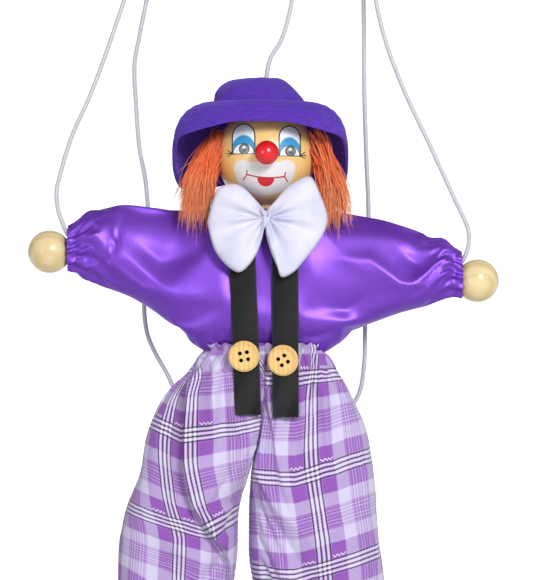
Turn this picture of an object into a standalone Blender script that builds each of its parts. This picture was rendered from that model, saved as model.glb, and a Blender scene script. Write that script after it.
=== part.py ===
"""Clown marionette: a wooden control, five strings and a jointed puppet. Metres, +Z up.

The origin is the centre of the control's top face. The puppet faces -Y.
Left means -X. Heights on the puppet are given as depths below the top of the hat.
"""

import math

import bmesh
import bpy
from mathutils import Vector

MM = 0.001
GAP = 0.3 * MM

# Control
GRIP_LENGTH = 128 * MM
GRIP_WIDTH = 14 * MM
GRIP_THICK = 6 * MM
CROSS_LENGTH = 106 * MM
CROSS_WIDTH = 12 * MM
CROSS_THICK = 5 * MM
CROSS_TOP = -GRIP_THICK - GAP
CROSS_UNDER = CROSS_TOP - CROSS_THICK
HAND_HOLE_X = 46 * MM
KNEE_HOLE_X = 36 * MM
HOLE_RADIUS = 1.4 * MM
KNOT_RADIUS = 2.3 * MM
BRAD_PLACES = ((-4 * MM, 3.2 * MM), (4 * MM, -3.2 * MM))

# Puppet
HAT_TOP_Z = -150 * MM
STRING_DIAMETER = 2 * MM
STRING_STEP = 4 * STRING_DIAMETER
HEAD_RADIUS = 21 * MM
HEAD_DEPTH = 33
NOSE_RADIUS = 5 * MM
HAND_RADIUS = 9.1 * MM
SHOULDER_X = 24
CLOTH = 0.8 * MM
FELT = 1.5 * MM
EYE_MAJOR = 3 * MM
EYE_WIRE = 0.6 * MM
EYE_HOLD = 1.4 * MM
EYE_REACH = 4.2 * MM
EYE_LENGTH = 11 * MM
SHANK_HOLE = 0.95 * MM
ARM_RADIUS = 2.7 * MM
LEG_RADIUS = 4.5 * MM

# Joint places and limb ends as (x, depth) in millimetres
SHOULDERS = {"left": (-SHOULDER_X, 65), "right": (SHOULDER_X, 66)}
HANDS = {"left": (-91.8, 73.7), "right": (89.6, 86)}
HIPS = {"left": (-13, 128), "right": (13, 128)}
KNEES = {"left": (-29.8, 186.6), "right": (19.4, 188.7)}
ANKLES = {"left": (-38.6, 241.9), "right": (23.3, 244.6)}
SIDES = ("left", "right")


def clear_scene():
    for old in list(bpy.data.objects):
        bpy.data.objects.remove(old, do_unlink=True)


def at(x, depth, y=0.0):
    """A point on the puppet from millimetres: x, depth below the hat top, y."""
    return Vector((x * MM, y * MM, HAT_TOP_Z - depth * MM))


def material(name, colour, roughness, metallic=0.0):
    made = bpy.data.materials.get(name)
    if made is None:
        made = bpy.data.materials.new(name)
        made.use_nodes = True
        shader = made.node_tree.nodes["Principled BSDF"]
        shader.inputs["Base Color"].default_value = (*colour, 1.0)
        shader.inputs["Roughness"].default_value = roughness
        shader.inputs["Metallic"].default_value = metallic
    return made


def bar_wood():
    return material("bar_wood", (0.60, 0.41, 0.22), 0.55)


def pale_wood():
    return material("pale_wood", (0.84, 0.68, 0.42), 0.4)


def face_lacquer():
    return material("face_lacquer", (0.86, 0.58, 0.25), 0.22)


def red_lacquer():
    return material("red_lacquer", (0.65, 0.01, 0.02), 0.15)


def violet_felt():
    return material("violet_felt", (0.08, 0.02, 0.35), 0.9)


def purple_satin():
    return material("purple_satin", (0.20, 0.06, 0.52), 0.3)


def plaid_cotton():
    return material("plaid_cotton", (0.45, 0.30, 0.62), 0.85)


def black_ribbon():
    return material("black_ribbon", (0.01, 0.01, 0.012), 0.35)


def white_cloth():
    return material("white_cloth", (0.80, 0.79, 0.86), 0.8)


def orange_fur():
    return material("orange_fur", (0.75, 0.13, 0.03), 0.8)


def nylon():
    return material("nylon", (0.78, 0.78, 0.80), 0.6)


def steel():
    return material("steel", (0.60, 0.60, 0.62), 0.3, 1.0)


def shoe_lacquer():
    return material("shoe_lacquer", (0.02, 0.02, 0.025), 0.2)


def empty(name, place):
    made = bpy.data.objects.new(name, None)
    made.empty_display_size = 5 * MM
    made.location = place
    bpy.context.scene.collection.objects.link(made)
    return made


def place_under(made, finish, parent):
    """Gives an object its material and parents it without moving it."""
    made.data.materials.append(finish)
    bpy.context.scene.collection.objects.link(made)
    if parent is not None:
        made.parent = parent
        made.matrix_parent_inverse.translation = -parent.location
    return made


def finish_mesh(name, mesh_builder, finish, parent, smooth=True):
    """Turns a bmesh in world coordinates into a named object."""
    data = bpy.data.meshes.new(name)
    mesh_builder.to_mesh(data)
    mesh_builder.free()
    if smooth:
        data.shade_smooth()
        data.set_sharp_from_angle(angle=math.radians(50))
    return place_under(bpy.data.objects.new(name, data), finish, parent)


def frame_along(direction):
    """Two unit vectors square to a direction."""
    side = Vector((0, 1, 0)) if abs(direction.y) < 0.9 else Vector((1, 0, 0))
    first = direction.cross(side).normalized()
    return first, direction.cross(first).normalized()


def turned(name, base, direction, profile, finish, parent, segments=20):
    """A lathe-turned piece. Profile points are (radius, distance along the axis)."""
    builder = bmesh.new()
    direction = direction.normalized()
    first, second = frame_along(direction)
    loops = []
    for radius, along in profile:
        centre = base + direction * along
        if radius == 0:
            loops.append([builder.verts.new(centre)])
            continue
        ring = []
        for step in range(segments):
            turn = 2 * math.pi * step / segments
            ring.append(builder.verts.new(
                centre + (first * math.cos(turn) + second * math.sin(turn)) * radius))
        loops.append(ring)
    closed = len(loops[0]) > 1
    pairs = list(zip(loops, loops[1:] + ([loops[0]] if closed else [])))
    for one, two in pairs:
        join_rings(builder, one, two, segments)
    bmesh.ops.recalc_face_normals(builder, faces=builder.faces)
    return finish_mesh(name, builder, finish, parent)


def join_rings(builder, one, two, segments):
    for step in range(segments):
        after = (step + 1) % segments
        if len(one) == 1:
            corners = (one[0], two[step], two[after])
        elif len(two) == 1:
            corners = (one[step], two[0], one[after])
        else:
            corners = (one[step], two[step], two[after], one[after])
        builder.faces.new(corners)


def oval(centre, wide, deep, power=2.0, count=16):
    """A closed ring round a centre; wide and deep are vectors from it to the ring."""
    ring = []
    for step in range(count):
        turn = 2 * math.pi * step / count
        across = math.copysign(abs(math.cos(turn)) ** (2 / power), math.cos(turn))
        along = math.copysign(abs(math.sin(turn)) ** (2 / power), math.sin(turn))
        ring.append(centre + wide * across + deep * along)
    return ring


def loft(name, rings, finish, parent, capped=True, wall=None):
    """Joins rings into a skin: capped into a solid, or open and given a wall."""
    builder = bmesh.new()
    loops = [[builder.verts.new(point) for point in ring] for ring in rings]
    for one, two in zip(loops, loops[1:]):
        join_rings(builder, one, two, len(one))
    if capped:
        builder.faces.new(loops[0])
        builder.faces.new(loops[-1])
    bmesh.ops.recalc_face_normals(builder, faces=builder.faces)
    middle = sum((vert.co for vert in builder.verts), Vector()) / len(builder.verts)
    outward = sum(face.normal.dot(face.calc_center_median() - middle) * face.calc_area()
                  for face in builder.faces)
    if outward < 0:
        bmesh.ops.reverse_faces(builder, faces=builder.faces)
    made = finish_mesh(name, builder, finish, parent)
    if wall is not None:
        thicken = made.modifiers.new("wall", "SOLIDIFY")
        thicken.thickness = wall
        thicken.offset = -1
        thicken.use_even_offset = True
    return made


def box(name, low, high, finish, parent, bevel=0.0, segments=2):
    """A block between two corners with rounded edges."""
    builder = bmesh.new()
    bmesh.ops.create_cube(builder, size=1)
    size = high - low
    for vert in builder.verts:
        vert.co = low + Vector((size[i] * (vert.co[i] + 0.5) for i in range(3)))
    if bevel > 0:
        bmesh.ops.bevel(builder, geom=builder.edges, offset=bevel,
                        segments=segments, profile=0.5, affect="EDGES")
    return finish_mesh(name, builder, finish, parent)


def cutter(base, direction, radius, length, segments=14):
    """A hidden round cutter from base along a direction."""
    profile = ((0, 0), (radius, 0), (radius, length), (0, length))
    made = turned("cutter", base, direction, profile, bar_wood(), None, segments)
    made.hide_render = True
    made.display_type = "WIRE"
    return made


def cut(target, *tools):
    for tool in tools:
        hole = target.modifiers.new("hole", "BOOLEAN")
        hole.operation = "DIFFERENCE"
        hole.solver = "EXACT"
        hole.object = tool


def curve_points(route, step):
    """Evenly spaced points on a smooth curve through the route's points."""
    ends = [route[0] * 2 - route[1]] + route + [route[-1] * 2 - route[-2]]
    fine = []
    for before, start, end, after in zip(ends, ends[1:], ends[2:], ends[3:]):
        for part in range(24):
            t = part / 24
            fine.append(0.5 * (
                2 * start + (end - before) * t
                + (2 * before - 5 * start + 4 * end - after) * t * t
                + (3 * start - before - 3 * end + after) * t * t * t))
    fine.append(route[-1])
    length = sum((b - a).length for a, b in zip(fine, fine[1:]))
    count = max(2, round(length / step))
    spacing = length / count
    points = [fine[0]]
    travelled = 0.0
    for one, two in zip(fine, fine[1:]):
        travelled += (two - one).length
        if travelled >= spacing * len(points) and len(points) < count:
            points.append(two)
    return points + [fine[-1]]


def wire(name, points, radius, finish, parent, resolution=2):
    """A round tube along points, as a curve with filled ends."""
    data = bpy.data.curves.new(name, "CURVE")
    data.dimensions = "3D"
    data.bevel_depth = radius
    data.bevel_resolution = resolution
    data.use_fill_caps = True
    spline = data.splines.new("POLY")
    spline.points.add(len(points) - 1)
    for slot, point in zip(spline.points, points):
        slot.co = (*point, 1.0)
    return place_under(bpy.data.objects.new(name, data), finish, parent)


def screw_eye(name, centre, shank_direction, across, parent):
    """A bent-wire eye: a ring that runs into a straight shank."""
    points = [centre + shank_direction * EYE_LENGTH, centre + shank_direction * EYE_REACH]
    opening = math.radians(22)
    steps = 11
    for step in range(steps + 1):
        turn = opening + (2 * math.pi - 2 * opening) * step / steps
        points.append(centre + (shank_direction * math.cos(turn)
                                + across * math.sin(turn)) * EYE_MAJOR)
    return wire(name, points, EYE_WIRE, steel(), parent, 1)


def control():
    grip = box("grip_bar",
               Vector((-GRIP_WIDTH / 2, -GRIP_LENGTH / 2, -GRIP_THICK)),
               Vector((GRIP_WIDTH / 2, GRIP_LENGTH / 2, 0)),
               bar_wood(), None, 1.2 * MM)
    cross = box("crossbar",
                Vector((-CROSS_LENGTH / 2, -CROSS_WIDTH / 2, CROSS_UNDER)),
                Vector((CROSS_LENGTH / 2, CROSS_WIDTH / 2, CROSS_TOP)),
                bar_wood(), None, 1.2 * MM)
    down = Vector((0, 0, -1))
    pocket = KNOT_RADIUS + 0.7 * MM
    cut(grip, cutter(Vector((0, 0, -GRIP_THICK - MM)), -down, pocket, MM + 4.2 * MM))
    head, shank = 1.6 * MM, 0.55 * MM
    for side, (x, y) in zip(SIDES, BRAD_PLACES):
        cut(grip, cutter(Vector((x, y, MM)), down, head + GAP, MM + 1.3 * MM),
            cutter(Vector((x, y, MM)), down, shank + GAP, GRIP_THICK + 2 * MM))
        cut(cross, cutter(Vector((x, y, CROSS_TOP + MM)), down, shank + GAP, MM + 4 * MM))
        turned("brad_" + side, Vector((x, y, -GAP)), down,
               ((0, 0), (head, 0), (head, 0.7 * MM), (shank, 0.7 * MM),
                (shank, 9 * MM), (0, 9.6 * MM)), steel(), None, 12)
    places = {"head": 0.0}
    for side, sign in zip(SIDES, (-1, 1)):
        places["hand_" + side] = sign * HAND_HOLE_X
        places["knee_" + side] = sign * KNEE_HOLE_X
    for name, x in places.items():
        cut(cross, cutter(Vector((x, 0, CROSS_TOP + MM)), down, HOLE_RADIUS,
                          CROSS_THICK + 2 * MM))
        knot("knot_" + name, Vector((x, 0, CROSS_TOP + GAP)), Vector((0, 0, 1)), None)


def knot(name, base, direction, parent):
    """A pulled-tight overhand knot as a squat bead."""
    r = KNOT_RADIUS
    turned(name, base, direction,
           ((0, 0), (0.75 * r, 0), (r, 0.45 * r), (0.95 * r, 0.95 * r),
            (0.55 * r, 1.45 * r), (0, 1.5 * r)), nylon(), parent, 12)


STRING_ROUTES = {
    "head_string": (
        (2.5, -110, 0), (8, -72, 0), (11.5, -40, 0), (7.6, -19, 0), (1.8, -8, 0),
        (0, 2, 0), (0, 12, 0), (0, 44.9, 0)),
    "hand_string_left": (
        (-46.5, -112, 0), (-50.5, -76, 0), (-57, -44, 0), (-64.7, -19.3, -1),
        (-73.9, 5.9, -1), (-82.3, 24.8, -1), (-87.4, 41.6, -1), (-88.8, 49, -1),
        (-88, 56.5, -1), (-85.9, 62.4, -1), (-84.4, 65.6, -1), (-83.2, 67.4, -1)),
    "hand_string_right": (
        (45.3, -112, 0), (44.6, -76, 0), (45.2, -44, 0), (49.6, -19.3, -1),
        (58.2, 4.5, -1), (69.2, 28, -1), (79.8, 51, -1), (85.3, 63, -1),
        (86.1, 69, -1), (85.3, 73, -1), (83.9, 76.6, -1), (82.4, 78.4, -1)),
    "knee_string_left": (
        (-37.5, -112, 1), (-43, -76, 5), (-49, -44, 9), (-54.2, -19.3, 13),
        (-56.5, -6, 15), (-55.9, 10, 17), (-54.6, 28, 18.5), (-51.6, 46, 20),
        (-50.6, 70, 20), (-52.6, 92, 20.5), (-51.7, 106.7, 21), (-48.4, 116, 21.5),
        (-41.6, 128.5, 22.5), (-36, 143, 23.2), (-33, 155, 22.4), (-32, 163, 21.2)),
    "knee_string_right": (
        (36.8, -112, 1), (39.4, -76, 5), (41.3, -44, 9), (42, -19.3, 13),
        (42.3, 6, 16), (43.2, 32, 18.5), (44.2, 57, 20), (43.6, 82, 20.5),
        (42.8, 104.6, 21), (42.4, 122, 22), (39.6, 136, 23.4),
        (30, 148, 23.2), (22, 157, 22.2), (19.5, 165, 21.2)),
}


def strings(trunk):
    tops = {"head_string": 0.0,
            "hand_string_left": -HAND_HOLE_X, "hand_string_right": HAND_HOLE_X,
            "knee_string_left": -KNEE_HOLE_X, "knee_string_right": KNEE_HOLE_X}
    for name, places in STRING_ROUTES.items():
        top = Vector((tops[name], 0, CROSS_TOP - GAP))
        below = Vector((tops[name], 0, CROSS_UNDER - 4 * MM))
        route = [top, below] + [at(x, depth, y) for x, depth, y in places]
        wire(name, curve_points(route, STRING_STEP), STRING_DIAMETER / 2, nylon(), trunk)


def arc(radius, centre, start, end, steps):
    """Profile points on a circle; angles in degrees from the +axis direction."""
    points = []
    for step in range(steps + 1):
        turn = math.radians(start + (end - start) * step / steps)
        points.append((radius * math.sin(turn), centre + radius * math.cos(turn)))
    return points


def head(skull):
    down = Vector((0, 0, -1))
    bore, socket = 1.6 * MM, 4.4 * MM
    ceiling = at(0, 45).z
    centre = at(0, HEAD_DEPTH)
    top = math.degrees(math.asin(bore / HEAD_RADIUS))
    bottom = 180 - math.degrees(math.asin(socket / HEAD_RADIUS))
    roof = centre.z - ceiling
    profile = arc(HEAD_RADIUS, 0, 180 - top, 180 - bottom, 11) + [(socket, roof), (bore, roof)]
    turned("head_ball", centre, down, profile, face_lacquer(), skull, 20)
    front = Vector((0, -1, 0))
    turned("nose_bead", at(0.5, 32.6) + front * (HEAD_RADIUS + GAP + NOSE_RADIUS), front,
           arc(NOSE_RADIUS, 0, 180, 0, 8), red_lacquer(), skull, 14)
    hat(skull)
    hair(skull)


def ease(value):
    value = min(1.0, max(0.0, value))
    return value * value * (3 - 2 * value)


def hat(skull):
    """A soft bucket hat: flat-topped crown, brim short in front and hanging at the sides."""
    count = 20
    # Crown rings as (x of centre, radius, depth)
    crown = ((0, 1.7, 0.2), (-3.6, 9, 0), (-4.4, 14.5, 2), (-4, 17.6, 5.2), (-2.9, 19.4, 10.4))
    rings = []
    for x, radius, depth in crown:
        rings.append(oval(at(x, depth), Vector((radius * MM, 0, 0)),
                          Vector((0, radius * MM, 0)), 2, count))
    for share in (0.3, 0.6, 0.82, 1.0):
        ring = []
        for step in range(count):
            turn = 2 * math.pi * step / count
            side = math.degrees(math.acos(max(-1, min(1, -math.sin(turn)))))
            reach = 28 + 9.6 * ease((side - 12) / 62) - 2.5 * ease((side - 110) / 70)
            drop = 20 + 5 * ease((side - 20) / 50) + 22 * ease((side - 62) / 56)
            drop -= 5 * ease((side - 125) / 55)
            radius = 19.4 + (reach - 19.4) * math.sin(share * math.pi / 2) ** 0.8
            depth = 10.8 + (drop - 10.8) * share**1.8
            ring.append(at(-2.4 + radius * math.cos(turn), depth, radius * math.sin(turn)))
        rings.append(ring)
    loft("hat", rings, violet_felt(), skull, False, FELT)


def hair(skull):
    """A clump of false fur over each ear, inside the brim."""
    # (depth, inner x, outer x, centre y, half depth in y)
    sections = ((24, 22, 27, 0, 5), (32, 22.4, 31, -1, 8), (41, 21.6, 32, -2, 9.5),
                (48, 19.4, 31.6, -4, 9), (53, 17.4, 30, -6, 7))
    for side, sign in zip(SIDES, (-1, 1)):
        spread = 3 if sign < 0 else 0
        rings = []
        for depth, near, far, middle, half in sections:
            centre = at(sign * (near + far + spread) / 2, depth, middle)
            wide = (far + spread - near) / 2 * MM
            rings.append(oval(centre, Vector((wide, 0, 0)), Vector((0, half * MM, 0)), 2, 12))
        loft("hair_" + side, rings, orange_fur(), skull)


def trunk_parts(trunk):
    block = box("torso_block", at(-17, 121, -7), at(17, 58.5, 7), pale_wood(), trunk, 3 * MM)
    down = Vector((0, 0, -1))
    peg, peg_hole = 4 * MM, 4.3 * MM
    cut(block, cutter(at(0, 57.5), down, peg_hole, 8.5 * MM))
    turned("neck_peg", at(0, 45.4), down,
           ((0, 0), (peg - 0.6 * MM, 0), (peg, 0.6 * MM), (peg, 20 * MM), (0, 20 * MM)),
           pale_wood(), trunk, 16)
    for side, sign in zip(SIDES, (-1, 1)):
        inward = Vector((-sign, 0, 0))
        x, depth = SHOULDERS[side]
        centre = at(x, depth) + inward * EYE_MAJOR
        screw_eye("shoulder_eye_" + side, centre, inward, Vector((0, 1, 0)), trunk)
        cut(block, cutter(at(sign * 18, depth), inward, SHANK_HOLE, 9.5 * MM, 8))
        x, depth = HIPS[side]
        centre = at(x, depth) - down * EYE_MAJOR
        screw_eye("hip_eye_" + side, centre, -down, Vector((1, 0, 0)), trunk)
        cut(block, cutter(at(x, 122), -down, SHANK_HOLE, 9.5 * MM, 8))
    shirt(trunk)
    waistband(trunk)
    braces(trunk)
    bow(trunk)


def shirt(trunk):
    """The middle of the shirt, a wide tube between the sleeves, open at neck and waist."""
    # (x, top depth, bottom depth, half depth in y)
    sections = ((-22, 55.4, 112.4, 11.8), (-14, 55.2, 112.8, 12.4), (0, 55.4, 113, 12.6),
                (14, 56, 113, 12.4), (22, 56.6, 112.8, 11.8))
    rings = [oval(at(x, (top + bottom) / 2), Vector((0, half * MM, 0)),
                  Vector((0, 0, (bottom - top) / 2 * MM)), 3.2, 20)
             for x, top, bottom, half in sections]
    body = loft("shirt_body", rings, purple_satin(), trunk, False, CLOTH)
    cut(body, cutter(at(0, 50), Vector((0, 0, -1)), 6 * MM, 10 * MM, 16))
    waist = box("cutter", at(-19.5, 125, -9), at(19.5, 100, 9), bar_wood(), None, 3 * MM)
    waist.hide_render = True
    waist.display_type = "WIRE"
    cut(body, waist)


def waistband(trunk):
    """The gathered top edge of the trousers over its elastic."""
    sections = ((113.4, 26.2, 13.6), (115.5, 25.4, 13.2), (117.5, 26.6, 14), (121.2, 28, 14.6))
    rings = [oval(at(-0.8, depth), Vector((wide * MM, 0, 0)), Vector((0, deep * MM, 0)), 2.4, 20)
             for depth, wide, deep in sections]
    loft("waistband", rings, plaid_cotton(), trunk, False, CLOTH)


def braces(trunk):
    """Two ribbons sewn under the bow, held by buttons at the waist, with loose ends."""
    # (x at collar, x at hem, hem depth)
    runs = {"left": (-10.6, -7.4, 142), "right": (8, 8.2, 143)}
    heights = ((59, 13.2), (75, 13.3), (95, 13.4), (107, 14), (113, 15.2), (119, 15.6),
               (130, 16.6), (0, 17.2))
    buttons = {"left": (-9.2, 117.6, 10), "right": (7.1, 119.3, 30)}
    for side in SIDES:
        start, end, hem = runs[side]
        rings = []
        for depth, forward in heights:
            depth = depth or hem
            x = start + (end - start) * (depth - 59) / (hem - 59)
            centre = at(x, depth, -forward)
            half = 5.6 * MM
            thick = 0.3 * MM
            rings.append([centre + Vector((i * half, j * thick, 0))
                          for i, j in ((-1, -1), (1, -1), (1, 1), (-1, 1))])
        loft("strap_" + side, rings, black_ribbon(), trunk)
        x, depth, turn = buttons[side]
        button("button_" + side, at(x, depth, -17), turn, trunk)


def button(name, back, turn, trunk):
    """A four-hole wooden button with a raised rim."""
    front = Vector((0, -1, 0))
    r, thick = 6.5 * MM, 2.8 * MM
    made = turned(name, back, front,
                  ((0, 0), (r - 1 * MM, 0), (r, 0.9 * MM), (r, thick - 0.7 * MM),
                   (r - 0.8 * MM, thick), (r - 1.9 * MM, thick - 0.6 * MM),
                   (0, thick - 0.6 * MM)), pale_wood(), trunk, 24)
    for quarter in range(4):
        angle = math.radians(45 + turn + 90 * quarter)
        place = back + Vector((math.cos(angle), 0, math.sin(angle))) * 2.1 * MM
        cut(made, cutter(place - front * MM, front, 0.9 * MM, thick + 2 * MM, 8))


def bow(trunk):
    """Two padded loops of soft cloth pinched by a knot."""
    # (x, top depth, bottom depth, half depth in y)
    loops = {
        "left": ((-2.6, 56.4, 64.4, 1.8), (-8, 49, 77, 3.4), (-14, 47, 80, 3.8),
                 (-20, 50, 70, 3.2), (-23.6, 55, 64, 1.2)),
        "right": ((2.2, 56.4, 64.4, 1.8), (8, 50, 81, 3.4), (14, 45.5, 77, 3.8),
                  (20, 46, 70, 3.2), (25.4, 52, 63, 1.2)),
    }
    for side, sections in loops.items():
        rings = [oval(at(x, (top + bottom) / 2, -19.4), Vector((0, half * MM, 0)),
                      Vector((0, 0, (bottom - top) / 2 * MM)), 2, 14)
                 for x, top, bottom, half in sections]
        loft("bow_" + side, rings, white_cloth(), trunk)
    box("bow_knot", at(-2.2, 64.8, -22.8), at(1.8, 55.6, -16), white_cloth(), trunk, 1.3 * MM)


def limb(name, start, end, radius, holes, finish, parent, nose=1.2 * MM):
    """A dowel with rounded ends and a blind hole at each end named in holes."""
    direction = (end - start).normalized()
    length = (end - start).length
    depth = EYE_LENGTH - EYE_REACH + MM
    profile = [(0, depth), (SHANK_HOLE, depth), (SHANK_HOLE, 0)] if "start" in holes else [(0, 0)]
    profile += [(radius - nose, 0), (radius, nose), (radius, length - nose), (radius - nose, length)]
    if "end" in holes:
        profile += [(SHANK_HOLE, length), (SHANK_HOLE, length - depth), (0, length - depth)]
    else:
        profile += [(0, length)]
    return turned(name, start, direction, profile, finish, parent, 14)


def arm(side, parent):
    shoulder = at(*SHOULDERS[side])
    hand = at(*HANDS[side])
    out = (hand - shoulder).normalized()
    across = out.cross(Vector((0, 1, 0))).normalized()
    screw_eye("arm_eye_" + side, shoulder + out * EYE_HOLD, out, across, parent)
    start = shoulder + out * (EYE_HOLD + EYE_REACH)
    limb("arm_dowel_" + side, start, hand, ARM_RADIUS, ("start",), pale_wood(), parent)
    bore = ARM_RADIUS + GAP
    rim = math.degrees(math.asin(bore / HAND_RADIUS))
    turned("hand_bead_" + side, hand, -out,
           [(0, -GAP), (bore, -GAP)] + arc(HAND_RADIUS, 0, rim, 180, 8),
           pale_wood(), parent, 16)
    sleeve(side, parent)


SLEEVES = {
    # (x, top depth, bottom depth, half depth in y)
    "left": ((-22.4, 55.6, 112.2, 11.8), (-30, 55.8, 111.6, 12), (-37, 55.6, 107, 12),
             (-47, 54.2, 98.2, 11.6), (-58, 53.6, 91.6, 11), (-68, 55, 88, 10),
             (-76, 57.8, 85.6, 8.6), (-81, 60.4, 83.4, 7.6), (-84, 63.4, 81.4, 7.4)),
    "right": ((22.4, 56.8, 112.6, 11.8), (30, 57.2, 112, 12), (38, 58, 106.8, 12),
              (48, 59.4, 102, 11.6), (58, 62.2, 98.4, 11), (68, 66.2, 95.9, 10),
              (75, 68.8, 94, 8.6), (80, 71.2, 93, 7.6), (82.6, 74.2, 92.8, 7.4)),
}


def sleeve(side, parent):
    """A batwing sleeve, deep at the trunk and gathered at the wrist."""
    rings = [oval(at(x, (top + bottom) / 2), Vector((0, half * MM, 0)),
                  Vector((0, 0, (bottom - top) / 2 * MM)), 2.3, 16)
             for x, top, bottom, half in SLEEVES[side]]
    loft("sleeve_" + side, rings, purple_satin(), parent, False, CLOTH)


TROUSERS = {
    # (depth, left x, right x, half depth in y)
    "thigh_left": ((121.8, -29.8, -0.7, 14), (128, -40.5, -1.2, 15.5), (138, -47.6, -2.2, 17),
                   (152, -52.8, -4.2, 18), (166, -54.8, -6.4, 18), (177, -58.4, -10.2, 17.6),
                   (187, -61.2, -12.2, 17.2)),
    "thigh_right": ((121.8, -0.3, 29.2, 14), (128, -0.8, 34, 15.5), (138, -1.8, 39.8, 17),
                    (152, -3.8, 44.8, 18), (166, -6, 46.2, 18), (177, -6.8, 46.4, 17.6),
                    (187, -7.4, 47.6, 17.2)),
    "shin_left": ((187.4, -61.3, -12.3, 17.2), (200, -62.8, -12.6, 17), (216, -63.2, -14.6, 17),
                  (232, -62, -17.6, 16.6), (243, -60.4, -20, 16)),
    "shin_right": ((187.4, -7.4, 47.7, 17.2), (200, -7.2, 49.1, 17), (216, -5, 50, 17),
                   (232, -1.2, 49.6, 16.6), (243, 1.4, 48.4, 16)),
}


def trouser(part, parent):
    rings = [oval(at((low + high) / 2, depth), Vector(((high - low) / 2 * MM, 0, 0)),
                  Vector((0, half * MM, 0)), 2.1, 18)
             for depth, low, high, half in TROUSERS[part]]
    loft("trouser_" + part, rings, plaid_cotton(), parent, False, CLOTH)


def leg_upper(side, parent):
    hip = at(*HIPS[side])
    knee = at(*KNEES[side])
    down = (knee - hip).normalized()
    across = down.cross(Vector((0, 1, 0))).normalized()
    screw_eye("thigh_eye_" + side, hip + down * EYE_HOLD, down, Vector((0, 1, 0)), parent)
    top = hip + down * (EYE_HOLD + EYE_REACH)
    bottom = knee - down * (EYE_MAJOR + EYE_REACH)
    limb("thigh_dowel_" + side, top, bottom, LEG_RADIUS, ("start", "end"), pale_wood(), parent)
    screw_eye("knee_eye_" + side, knee - down * EYE_MAJOR, -down, across, parent)
    trouser("thigh_" + side, parent)
    x, depth, y = STRING_ROUTES["knee_string_" + side][-1]
    knot("knee_tie_" + side, at(x, depth + 0.5, y), Vector((0, 0, -1)), parent)


def leg_lower(side, parent):
    knee = at(*KNEES[side])
    ankle = at(*ANKLES[side])
    down = (ankle - knee).normalized()
    screw_eye("shin_eye_" + side, knee + down * EYE_HOLD, down, Vector((0, 1, 0)), parent)
    top = knee + down * (EYE_HOLD + EYE_REACH)
    limb("shin_dowel_" + side, top, ankle, LEG_RADIUS, ("start",), pale_wood(), parent)
    trouser("shin_" + side, parent)
    shoe(side, ankle, down, parent)


def shoe(side, ankle, down, parent):
    """A round-toed wooden shoe with a socket for the shin."""
    # (y, half width, sole depth below ankle, height above the sole)
    sections = ((9, 4, 15.6, 7), (7, 7.4, 16, 13), (1, 8.6, 16, 16.4), (-6, 8.8, 16, 15),
                (-13, 9.6, 16, 10.6), (-21, 10.4, 16, 9.4), (-27, 8.4, 15.8, 7.6),
                (-30, 4.4, 15.4, 4.6))
    rings = []
    for y, half, sole, tall in sections:
        centre = ankle + Vector((0, y * MM, (tall / 2 - sole) * MM))
        rings.append(oval(centre, Vector((half * MM, 0, 0)), Vector((0, 0, tall / 2 * MM)),
                          2.6, 18))
    made = loft("shoe_" + side, rings, shoe_lacquer(), parent)
    cut(made, cutter(ankle - down * 8 * MM, down, LEG_RADIUS + GAP, 8.4 * MM, 16))


def main():
    clear_scene()
    control()
    trunk = empty("torso", Vector((0, 0, CROSS_UNDER)))
    strings(trunk)
    trunk_parts(trunk)
    skull = empty("head", at(0, 50))
    head(skull)
    for side in SIDES:
        arm(side, empty("arm_" + side, at(*SHOULDERS[side])))
        leg_upper(side, empty("thigh_" + side, at(*HIPS[side])))
        leg_lower(side, empty("shin_" + side, at(*KNEES[side])))


main()
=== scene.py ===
import math
import random

import bmesh
import bpy
import numpy as np
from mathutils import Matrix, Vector, noise


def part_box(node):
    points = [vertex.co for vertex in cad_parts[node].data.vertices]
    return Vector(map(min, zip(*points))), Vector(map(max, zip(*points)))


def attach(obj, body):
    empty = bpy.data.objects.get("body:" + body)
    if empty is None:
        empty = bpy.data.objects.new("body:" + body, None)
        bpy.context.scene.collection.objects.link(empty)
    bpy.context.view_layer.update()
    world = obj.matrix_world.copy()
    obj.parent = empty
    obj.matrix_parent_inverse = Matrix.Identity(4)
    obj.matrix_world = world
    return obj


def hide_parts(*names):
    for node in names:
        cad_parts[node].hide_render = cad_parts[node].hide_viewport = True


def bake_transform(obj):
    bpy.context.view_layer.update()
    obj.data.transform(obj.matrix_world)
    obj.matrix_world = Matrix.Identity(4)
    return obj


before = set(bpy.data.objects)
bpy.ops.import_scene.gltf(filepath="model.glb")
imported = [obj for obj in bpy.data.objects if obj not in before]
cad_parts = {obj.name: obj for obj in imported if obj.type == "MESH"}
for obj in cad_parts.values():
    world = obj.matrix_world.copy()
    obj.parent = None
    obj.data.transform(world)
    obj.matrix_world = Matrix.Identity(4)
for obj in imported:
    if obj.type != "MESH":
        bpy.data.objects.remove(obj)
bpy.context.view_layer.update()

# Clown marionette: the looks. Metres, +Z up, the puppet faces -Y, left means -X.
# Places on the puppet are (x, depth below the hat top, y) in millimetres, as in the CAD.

MM = 0.001
HAT_TOP = -0.150
CROSS_UNDER, CROSS_TOP = (corner[2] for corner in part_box("crossbar"))
SIDES = ("left", "right")
SIGN = {"left": -1, "right": 1}
SHOULDER = {"left": (-24, 65), "right": (24, 66)}
HAND = {"left": (-91.8, 73.7), "right": (89.6, 86)}
KNEE = {"left": (-29.8, 186.6), "right": (19.4, 188.7)}
ANKLE = {"left": (-38.6, 241.9), "right": (23.3, 244.6)}
HEAD_RADIUS = 21
HEAD_DEPTH = 33
HAND_RADIUS = 9.1
HAND_BORE = 3.0
CORD_RADIUS = 1.0
TURN = 2 * math.pi


def at(x, depth, y=0.0):
    return Vector((x * MM, y * MM, HAT_TOP - depth * MM))


def ease(value, low=0.0, high=1.0):
    share = min(1.0, max(0.0, (value - low) / (high - low)))
    return share * share * (3 - 2 * share)


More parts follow.
